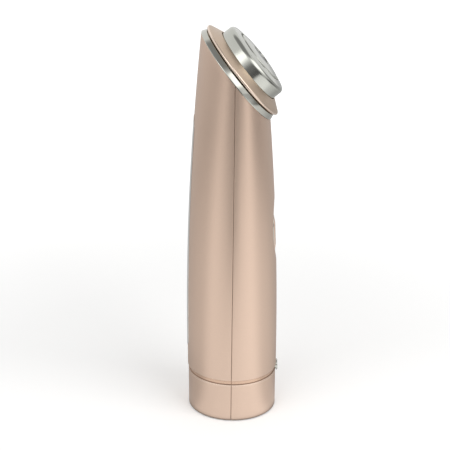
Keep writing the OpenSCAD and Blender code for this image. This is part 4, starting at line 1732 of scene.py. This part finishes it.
@dataclass(kw_only=True)
class ButtonGroup(SubAssembly):
    """Domed push button and the bright rim round it."""

    length: float = 20.5
    width: float = 10.5
    crown: float = 1.25
    proud: float = 0.15
    shoulder: tuple[Point2, ...] = ((0.0, 0.5), (0.03, 0.3), (0.12, 0.12), (0.3, 0.02))
    dome_start: float = 0.5
    dome_middle: float = 0.05
    dome_rings: int = 8
    flange_low: float = -4.6
    flange_top: float = -3.5
    flange_extra: float = 0.8
    gap: float = 0.3
    trim_wall: float = 0.7
    trim_low: float = -3.2
    trim_top: float = -0.95
    trim_round: float = 0.3

    def _button(self) -> Object:
        """The button with its flange.

        Returns:
            The button's object.
        """
        ball = ((self.length / 2) ** 2 + self.crown**2) / (2 * self.crown)

        def ring(inset: float, z: float | None, sink: float = 0.0) -> list[Vector]:
            """One slot-shaped ring, at a height or on the dome.

            Args:
                inset: How far it lies inside the button's outline.
                z: Its height, or None for the dome's own.
                sink: How far it lies below the dome.

            Returns:
                The ring's points.
            """
            length, width = self.length - 2 * inset, self.width - 2 * inset
            out = []
            for x, y in stadium(length, width, SLOT_STEPS):
                dome = math.sqrt(ball**2 - x * x - y * y) - ball + self.proud - sink
                out.append(Vector((x, y, dome if z is None else z)))
            return out

        span = self.width / 2 - self.dome_start - self.dome_middle
        rings = [
            ring(-self.flange_extra, self.flange_low),
            ring(-self.flange_extra, self.flange_top),
            ring(0.0, self.flange_top),
        ]
        rings += [ring(inset, None, sink) for inset, sink in self.shoulder]
        rings += [
            ring(self.dome_start + span * k / self.dome_rings, None)
            for k in range(self.dome_rings + 1)
        ]
        return lofted("push_button_cap", rings, self.shape.at_front(self.shape.button_height))

    def _trim(self) -> Object:
        """The bright rim, with a rounded top.

        Returns:
            The rim's object.
        """
        wide, low, top, curve = self.trim_wall, self.trim_low, self.trim_top, self.trim_round
        section = rounded([(0, low, 0), (wide, low, 0), (wide, top, curve), (0, top, curve)])
        length, width = self.length + 2 * self.gap, self.width + 2 * self.gap
        place = self.shape.at_front(self.shape.button_height)
        return slot_ring("button_rim", length, width, section, place)

    def build(self) -> None:
        """Makes the button and its rim."""
        self.enter(smooth(self._button(), SHELL_CREASE), Slot.SHELL, Rides.BUTTON, "button")
        self.enter(smooth(self._trim(), SHELL_CREASE), Slot.TRIM, Rides.BODY, "button_trim_ring")


@dataclass(kw_only=True)
class ChargeLamp(TurnedAssembly):
    """Small round lamp on the accent band."""

    radius: float = 2.85
    lens: float = 1.75
    proud: float = 0.7
    stem: float = 2.25
    stem_past: float = 0.6
    outer_round: float = 0.45
    inner_round: float = 0.12
    pipe_end: float = -7.0
    lens_sink: float = 0.35
    lens_dome: float = 0.4

    def _bezel(self) -> Profile:
        """Section of the bezel, with its stem through the wall.

        Returns:
            The closed profile.
        """
        fit, end = self.shape.fit, -self.shape.wall - self.stem_past
        bore, rim = self.lens + fit, self.radius
        corners = [(bore, end, 0), (self.stem, end, 0), (self.stem, fit, 0), (rim, fit, 0)]
        corners += [(rim, self.proud, self.outer_round), (bore, self.proud, self.inner_round)]
        return rounded(corners)

    def _lens(self) -> Profile:
        """Section of the domed lens and its light pipe.

        Returns:
            The closed profile.
        """
        rim, flat = self.proud - self.lens_sink, self.lens_dome / self.lens
        pipe = [(0.0, self.pipe_end), (self.lens, self.pipe_end)]
        return pipe + arc(0.0, rim, self.lens, range(0, 91, 10), flat)

    def build(self) -> None:
        """Makes the lamp's bezel and its lens."""
        place = self.shape.at_front(self.shape.band_height + self.shape.band_width / 2)
        self.turn("lamp_rim", self._bezel(), place, Slot.TRIM, Rides.BODY, "lamp_bezel")
        self.turn("lamp_window", self._lens(), place, Slot.LENS, Rides.BODY, "lamp_lens")


@dataclass(kw_only=True)
class TreatmentHead(TurnedAssembly):
    """Stack of turned rings on the slanted opening."""

    overhang: float = 0.1
    bezel_height: float = 2.7
    bezel_taper: float = 0.95
    bezel_width: float = 5.9
    bezel_foot: float = 0.35
    cup_gap: float = 1.15
    cup_height: float = 13.5
    cup_round: float = 2.2
    cup_wall: float = 0.8
    cup_low: float = 2.5
    face_arc: float = 85.0
    face_steps: int = 14
    edge: float = 0.18
    edge_turn: float = 0.05
    slit_share: float = 0.717
    slit_width: float = 1.1
    disc_edge: float = 0.2
    disc_turn: float = 0.06
    disc_under: float = 0.7
    inner_proud: float = 0.15
    window_share: float = 0.27
    window_depth: float = 0.5
    window_seat: float = 1.2
    window_edge: Point2 = (0.12, 0.15)
    light_sink: float = 0.7

    @property
    def foot(self) -> float:
        """Radius of the bezel's foot."""
        return self.shape.head_radius + self.overhang

    @property
    def bezel_bore(self) -> float:
        """Radius of the bezel's bore."""
        return self.foot - self.bezel_width

    @property
    def cup_radius(self) -> float:
        """Radius of the electrode cup."""
        return self.bezel_bore - self.cup_gap

    @property
    def ring_outer(self) -> float:
        """Outer radius of the slit."""
        return self.slit_share * self.cup_radius

    @property
    def ring_inner(self) -> float:
        """Inner radius of the slit."""
        return self.ring_outer - self.slit_width

    @property
    def under_face(self) -> float:
        """Height of the disc's and the light ring's underside."""
        return self.cup_height - self.cup_wall - self.disc_under

    @property
    def window_radius(self) -> float:
        """Radius of the window in the middle."""
        return self.window_share * self.cup_radius

    def face(self, radius: float, rise: float = 0.0) -> float:
        """Height of the domed face at a radius.

        Args:
            radius: Distance from the axis.
            rise: How far the surface stands off the face.

        Returns:
            The height.
        """
        rim, ball = self.cup_radius - self.cup_round, self.face_arc
        top = self.cup_height + ball - math.sqrt(ball**2 - rim**2)
        return top - ball + math.sqrt((ball + rise) ** 2 - radius**2)

    def _face_run(self, start: float, end: float, rise: float = 0.0) -> Profile:
        """Points on the domed face between two radii.

        Args:
            start: Radius of the first point.
            end: Radius of the last point.
            rise: How far the points stand off the face.

        Returns:
            The points.
        """
        steps = self.face_steps
        radii = [start + (end - start) * k / steps for k in range(steps + 1)]
        return [(radius, self.face(radius, rise)) for radius in radii]

    def _bezel(self) -> Profile:
        """Section of the bright bezel.

        Returns:
            The closed profile.
        """
        bore, foot, fit, top = self.bezel_bore, self.foot, self.shape.fit, self.bezel_height
        corners = [(bore, fit, 0), (foot, fit, 0.08), (foot, self.bezel_foot, 0.5)]
        corners += [(foot - self.bezel_taper, top, 0.45), (bore, top, 0.2)]
        return rounded(corners)

    def _cup(self) -> Profile:
        """Section of the silver cup with its rounded rim and domed edge.

        Returns:
            The closed profile.
        """
        radius, wall, bend, slit = self.cup_radius, self.cup_wall, self.cup_round, self.ring_outer
        rim, middle, height = radius - bend, self.cup_height - bend, self.face(slit)
        start = rim + bend * math.cos(math.radians(80))
        out = [(radius - wall, self.cup_low), (radius, self.cup_low)]
        out += arc(rim, middle, bend, range(0, 78, 7))
        out += self._face_run(start, slit + self.edge)
        out += [(slit + self.edge_turn, height - self.edge_turn), (slit, height - self.edge)]
        out += [(slit, height - wall), (rim, self.cup_height - wall)]
        return out + arc(rim, middle, bend - wall, range(75, -1, -15))

    def _disc(self) -> Profile:
        """Section of the domed disc with the window's seat.

        Returns:
            The closed profile.
        """
        low, edge, turn, proud = self.under_face, self.disc_edge, self.disc_turn, self.inner_proud
        outer, inner = self.ring_inner, self.window_radius
        at_rim, at_window = self.face(outer, proud), self.face(inner, proud)
        seat = self.face(0, proud) - self.window_depth - self.window_seat
        out = [(0.0, low), (outer, low), (outer, at_rim - edge), (outer - turn, at_rim - turn)]
        out += self._face_run(outer - edge, inner + edge, proud)
        out += [(inner + self.edge_turn, at_window - turn), (inner, at_window - edge)]
        return out + [(inner, seat), (0.0, seat)]

    def _light(self) -> Profile:
        """Section of the smoked ring in the slit.

        Returns:
            The closed profile.
        """
        low, fit, sink, curve = self.under_face, self.shape.fit, -self.light_sink, 0.1
        a, b = self.ring_inner + fit, self.ring_outer - fit
        corners = [(a, low, 0), (b, low, 0)]
        corners += [(b, self.face(b, sink), curve), (a, self.face(a, sink), curve)]
        return rounded(corners, 3)

    def _window(self) -> Profile:
        """Section of the smoked window in the middle of the face.

        Returns:
            The closed profile.
        """
        fit, (back, down) = self.shape.fit, self.window_edge
        top = self.face(0, self.inner_proud) - self.window_depth
        low, radius = top - self.window_seat + fit, self.window_radius - fit
        return [(0.0, low), (radius, low), (radius, top - down), (radius - back, top), (0.0, top)]

    def build(self) -> None:
        """Makes the rings from the bezel up to the window."""
        place = self.shape.at_head()
        for name, profile, slot, node in (
            ("bezel_ring", self._bezel(), Slot.TRIM, "head_bezel"),
            ("electrode_cup", self._cup(), Slot.ELECTRODE, "outer_electrode"),
            ("electrode_disc", self._disc(), Slot.ELECTRODE, "inner_electrode"),
            ("slit_light", self._light(), Slot.SMOKED, "light_ring"),
            ("centre_window", self._window(), Slot.SMOKED, "face_window"),
        ):
            self.turn(name, profile, place, slot, Rides.BODY, node)


@dataclass(kw_only=True)
class CottonRing(TurnedAssembly):
    """Conical ring that holds a cotton pad on the head."""

    overhang: float = 0.1
    bore: float = 19.6
    low: float = 3.0
    edge: float = 4.0
    top: float = 7.3

    def build(self) -> None:
        """Makes the ring, whose corners run from the bore's foot round the rim and back."""
        bore, low, edge, top = self.bore, self.low, self.edge, self.top
        rim, under = self.shape.head_radius + self.overhang, low + 0.3
        corners = [(bore, low, 0.15), (rim - 2.6, low, 0.1)]
        corners += [(rim - 2.4, under, 0.1), (rim - 0.4, under, 0.25)]
        corners += [(rim, edge - 0.25, 0.3), (rim, edge + 0.2, 0.3), (rim - 0.35, edge + 0.6, 0.4)]
        corners += [(bore + 0.5, top, 0.25), (bore, top, 0.2)]
        place = self.shape.at_head()
        self.turn("cotton_holder", rounded(corners), place, Slot.SHELL, Rides.RING, "cotton_ring")


@dataclass(kw_only=True)
class CadNodes(SubAssembly):
    """CAD nodes whose own shape is shown, most of them inside the housing."""

    def build(self, nodes: dict[str, Object], slots: dict[str, str]) -> None:
        """Gives each shown CAD node its finish.

        Args:
            nodes: The CAD nodes by name.
            slots: The record's slot of each node.
        """
        for name, obj in nodes.items():
            if obj.hide_render:
                continue
            obj.data.materials.clear()
            obj.data.materials.append(self.palette[Slot(slots[name])])
            LOG.info("%s dressed as %s", name, slots[name])


# ---- studio ----


@dataclass(frozen=True)
class Card:
    """A glowing card that gloss mirrors, seen from the wand in degrees.

    The azimuth is 0 towards the camera and 90 towards +X. The soft share is the part of the card
    over which its edges fade.
    """

    name: str
    azimuth: float
    elevation: float
    width: float
    height: float
    glow: float
    soft: float


@dataclass(frozen=True)
class Lamp:
    """A soft lamp that lights the scene and isn't mirrored itself, in degrees and watts."""

    name: str
    azimuth: float
    elevation: float
    power: float


@dataclass(frozen=True)
class FloorLevel:
    """How bright the floor looks in gloss past a distance in metres, for each direction."""

    start: float
    run: float
    levels: tuple[float, ...]


@dataclass
class Studio:
    """Pale floor and room, cards and lamps, and the camera of the photograph.

    The floor's levels are brightness levels of the studio, found by trying. The floor looks pale
    near the wand and where the softboxes light it, and dark by the camera and far out at the sides.
    """

    eye: Point3 = (-4.90, -555.4, 295.8)
    pitch: float = 19.74
    roll: float = 0.85
    lens: float = 96.0
    sensor: float = 36.0
    clip: Point2 = (0.01, 50.0)
    target: Point3 = (0.0, 0.0, 140.0)
    distance: float = 900.0
    cards: tuple[Card, ...] = (
        Card("softbox_left", -37, 26, 44, 32, glow=1.9, soft=0.3),
        Card("softbox_right", 55, 30, 76, 40, glow=1.9, soft=0.25),
        Card("ceiling", 10, 82, 88, 90, glow=0.3, soft=0.25),
        Card("camera_side", 5, 2, 84, 34, glow=0.2, soft=0.45),
        Card("room_right", 118, 8, 62, 44, glow=0.42, soft=0.3),
    )
    lamps: tuple[Lamp, ...] = (Lamp("lamp_left", -37, 40, 2.4), Lamp("lamp_right", 50, 36, 3.8))
    lamp_size: float = 0.7
    room_glow: float = 0.62
    mirrored_glow: float = 0.24
    floor_reach: float = 6.0
    floor_colour: Colour = (0.92, 0.92, 0.915)
    floor_white: Point2 = (0.13, 0.42)
    floor_run: Point2 = (0.12, 0.6)
    floor_azimuths: tuple[float, ...] = (-180, -140, -81, -48, -23, 0, 23, 48, 81, 140, 180)
    floor_levels: tuple[FloorLevel, ...] = (
        FloorLevel(0.0, 0.1, (0.2,) * 11),
        FloorLevel(
            0.0225, 0.003, (0.34, 0.34, 0.46, 0.85, 0.90, 0.93, 1.00, 1.05, 0.62, 0.32, 0.34)
        ),
        FloorLevel(0.05, 0.05, (0.46, 0.48, 0.62, 0.95, 0.92, 0.95, 1.04, 1.14, 0.74, 0.44, 0.46)),
        FloorLevel(0.17, 0.06, (0.48, 0.48, 0.64, 1.03, 0.78, 0.14, 1.06, 1.16, 0.80, 0.46, 0.48)),
        FloorLevel(0.36, 0.10, (0.50, 0.52, 0.28, 0.60, 0.02, 0.14, 0.08, 0.76, 0.12, 0.44, 0.50)),
        FloorLevel(0.70, 0.25, (0.52, 0.56, 0.45, 0.56, 0.08, 0.14, 0.10, 0.60, 0.12, 0.42, 0.52)),
        FloorLevel(1.30, 0.60, (0.56, 0.60, 0.48, 0.56, 0.18, 0.16, 0.20, 0.56, 0.34, 0.44, 0.56)),
    )

    def camera(self) -> None:
        """Makes the camera."""
        pitch, roll = math.radians(self.pitch), math.radians(self.roll)
        ahead = Vector((0, math.cos(pitch), -math.sin(pitch)))
        right = Vector((1, 0, 0))
        up = right.cross(ahead)
        side = math.cos(roll) * right + math.sin(roll) * up
        above = -math.sin(roll) * right + math.cos(roll) * up
        data = bpy.data.cameras.new("camera")
        data.lens, data.sensor_width = self.lens, self.sensor
        data.clip_start, data.clip_end = self.clip
        obj = link("camera", data)
        axes = Matrix((side, above, -ahead)).transposed().to_4x4()
        obj.matrix_world = Matrix.Translation(Vector(self.eye) * MM) @ axes
        bpy.context.scene.camera = obj

    @staticmethod
    def away(azimuth: float, elevation: float) -> Vector:
        """Direction from the wand, with azimuth 0 towards the camera and 90 towards +X."""
        a, e = math.radians(azimuth), math.radians(elevation)
        return Vector((math.sin(a) * math.cos(e), -math.cos(a) * math.cos(e), math.sin(e)))

    @staticmethod
    def staged(name: str, points: Sequence[Point3 | Vector], material: Material) -> Object:
        """Makes a four-cornered face that belongs to the studio and not to the wand.

        Args:
            name: The object's name.
            points: Its corners, in metres.
            material: Its material.

        Returns:
            The object.
        """
        mesh = bpy.data.meshes.new(name)
        mesh.from_pydata(points, [], [(0, 1, 2, 3)])
        mesh.materials.append(material)
        obj = link(name, mesh)
        return obj

    @staticmethod
    def bare(block: Material | bpy.types.World) -> Tree:
        """Empties a material's or a world's node tree.

        Args:
            block: The material or the world.

        Returns:
            The emptied tree.
        """
        block.use_nodes = True
        block.node_tree.nodes.clear()
        return block.node_tree

    def hang_card(self, card: Card) -> None:
        """Hangs a card that faces the wand and fades out towards its edges.

        Args:
            card: The card.
        """
        azimuth, back = math.radians(card.azimuth), self.away(card.azimuth, card.elevation)
        across = Vector((math.cos(azimuth), math.sin(azimuth), 0.0))
        along = back.cross(across)
        width, height = (
            self.distance * math.tan(math.radians(angle / 2)) for angle in (card.width, card.height)
        )
        corners = [(-1, -1), (1, -1), (1, 1), (-1, 1)]
        middle = Vector(self.target) + back * self.distance
        points = [(middle + across * width * u + along * height * v) * MM for u, v in corners]
        material = bpy.data.materials.new(card.name)
        tree = self.bare(material)
        face = tree.nodes.new("ShaderNodeTexCoord").outputs["UV"]
        split = grow(tree, "ShaderNodeSeparateXYZ", face)
        u_fade, v_fade = (
            Field(tree, socket).math("PINGPONG", 0.5).eased(0.0, card.soft)
            for socket in split.outputs[:2]
        )
        light = grow(tree, "ShaderNodeEmission", Strength=card.glow).outputs[0]
        clear = tree.nodes.new("ShaderNodeBsdfTransparent").outputs[0]
        mixed = grow(tree, "ShaderNodeMixShader", u_fade * v_fade, clear, light)
        grow(tree, "ShaderNodeOutputMaterial", mixed.outputs[0])
        obj = self.staged(card.name, points, material)
        layer = obj.data.uv_layers.new(name="face")
        for loop, (u, v) in zip(layer.data, corners):
            loop.uv = ((u + 1) / 2, (v + 1) / 2)
        obj.visible_camera = obj.visible_shadow = obj.visible_diffuse = False

    def hang_lamp(self, lamp: Lamp) -> None:
        """Hangs a lamp that faces the wand.

        Args:
            lamp: The lamp.
        """
        back = self.away(lamp.azimuth, lamp.elevation)
        data = bpy.data.lights.new(lamp.name, "AREA")
        data.shape, data.size, data.energy = "SQUARE", self.lamp_size, lamp.power
        obj = link(lamp.name, data)
        turn = back.to_track_quat("Z", "Y").to_matrix().to_4x4()
        place = Matrix.Translation((Vector(self.target) + back * self.distance) * MM)
        obj.matrix_world = place @ turn
        obj.visible_camera = obj.visible_glossy = False

    def _floor_seen(self, x: Field, y: Field) -> Field:
        """Brightness of the floor in reflections.

        Args:
            x: X of the place on the floor, in metres.
            y: Y of the place.

        Returns:
            The brightness.
        """
        tree = x.tree
        turn = x.math("ARCTAN2", -y) / (2 * math.pi) + 0.5
        far = distance_2d(x, y)
        rings = []
        for row in self.floor_levels:
            ramp = grow(tree, "ShaderNodeValToRGB", turn)
            ramp.color_ramp.interpolation = "EASE"
            stops = ramp.color_ramp.elements
            while len(stops) < len(row.levels):
                stops.new(0.5)
            for stop, azimuth, value in zip(stops, self.floor_azimuths, row.levels):
                stop.position = azimuth / 360 + 0.5
                stop.color = (value / 2, value / 2, value / 2, 1.0)
            rings.append(Field(tree, ramp.outputs["Color"]) * 2.0)
        level = rings[0]
        for row, ring in zip(self.floor_levels[1:], rings[1:]):
            level = level + (ring - level) * far.eased(row.start, row.start + row.run)
        return level

    def floor(self) -> None:
        """Lays the pale floor, which keeps the wand's shadow and shows white to the camera."""
        material = bpy.data.materials.new("floor")
        tree = self.bare(material)
        path = tree.nodes.new("ShaderNodeLightPath")
        place = tree.nodes.new("ShaderNodeTexCoord").outputs["Object"]
        split = grow(tree, "ShaderNodeSeparateXYZ", place)
        x, y = (Field(tree, socket) for socket in split.outputs[:2])
        near, more = self.floor_white
        white = (distance_2d(x, y).eased(*self.floor_run) * more + near) * (
            Field(tree, path.outputs["Is Camera Ray"])
        )
        matt = grow(tree, "ShaderNodeBsdfDiffuse", Color=(*self.floor_colour, 1.0)).outputs[0]
        glow = grow(tree, "ShaderNodeEmission", Strength=white).outputs[0]
        both = grow(tree, "ShaderNodeAddShader", matt, glow).outputs[0]
        seen = grow(tree, "ShaderNodeEmission", Strength=self._floor_seen(x, y)).outputs[0]
        mixed = grow(tree, "ShaderNodeMixShader", path.outputs["Is Glossy Ray"], both, seen)
        grow(tree, "ShaderNodeOutputMaterial", mixed.outputs[0])
        corners = [(-1, -1), (1, -1), (1, 1), (-1, 1)]
        points = [(self.floor_reach * u, self.floor_reach * v, 0) for u, v in corners]
        self.staged("floor", points, material)

    def world(self) -> None:
        """Surrounds the wand with a pale room, which is white to the camera."""
        world = bpy.data.worlds.new("room")
        bpy.context.scene.world = world
        tree = self.bare(world)
        path = tree.nodes.new("ShaderNodeLightPath")
        camera, glossy, clear = (
            Field(tree, path.outputs[f"Is {kind} Ray"])
            for kind in ("Camera", "Glossy", "Transmission")
        )
        mirrored = glossy.math("MAXIMUM", clear)
        strength = (mirrored * self.mirrored_glow + self.room_glow).math("MAXIMUM", camera)
        sky = grow(tree, "ShaderNodeBackground", (1, 1, 1, 1), Strength=strength)
        grow(tree, "ShaderNodeOutputWorld", sky.outputs[0])

    def light(self) -> None:
        """Sets up the room, the floor, the cards and the lamps."""
        self.world()
        self.floor()
        for card in self.cards:
            self.hang_card(card)
        for lamp in self.lamps:
            self.hang_lamp(lamp)
        bpy.context.scene.view_settings.view_transform = "Standard"


def main() -> None:
    """Builds the wand's pieces in order and reports each one."""
    logging.basicConfig(level=logging.INFO, format="%(name)s: %(message)s")
    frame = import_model()
    studio = Studio()
    studio.camera()
    palette = Palette()
    turner = TurnedRule()
    skin = SkinRule(SHAPE, Dish())
    plate = ContactPlate(palette=palette, skin=skin)
    Housing(palette=palette, skin=skin, tube=TubeRule()).build(plate.pocket())
    plate.build()
    ButtonGroup(palette=palette).build()
    ChargeLamp(palette=palette, turner=TurnedRule(segments=64)).build()
    TreatmentHead(palette=palette, turner=turner).build()
    CottonRing(palette=palette, turner=turner).build()
    slots = {row["node"]: row["material_slot"] for row in frame["record"]["subparts"]}
    CadNodes(palette=palette).build(frame["nodes"], slots)
    studio.light()


if __name__ == "__main__":
    main()
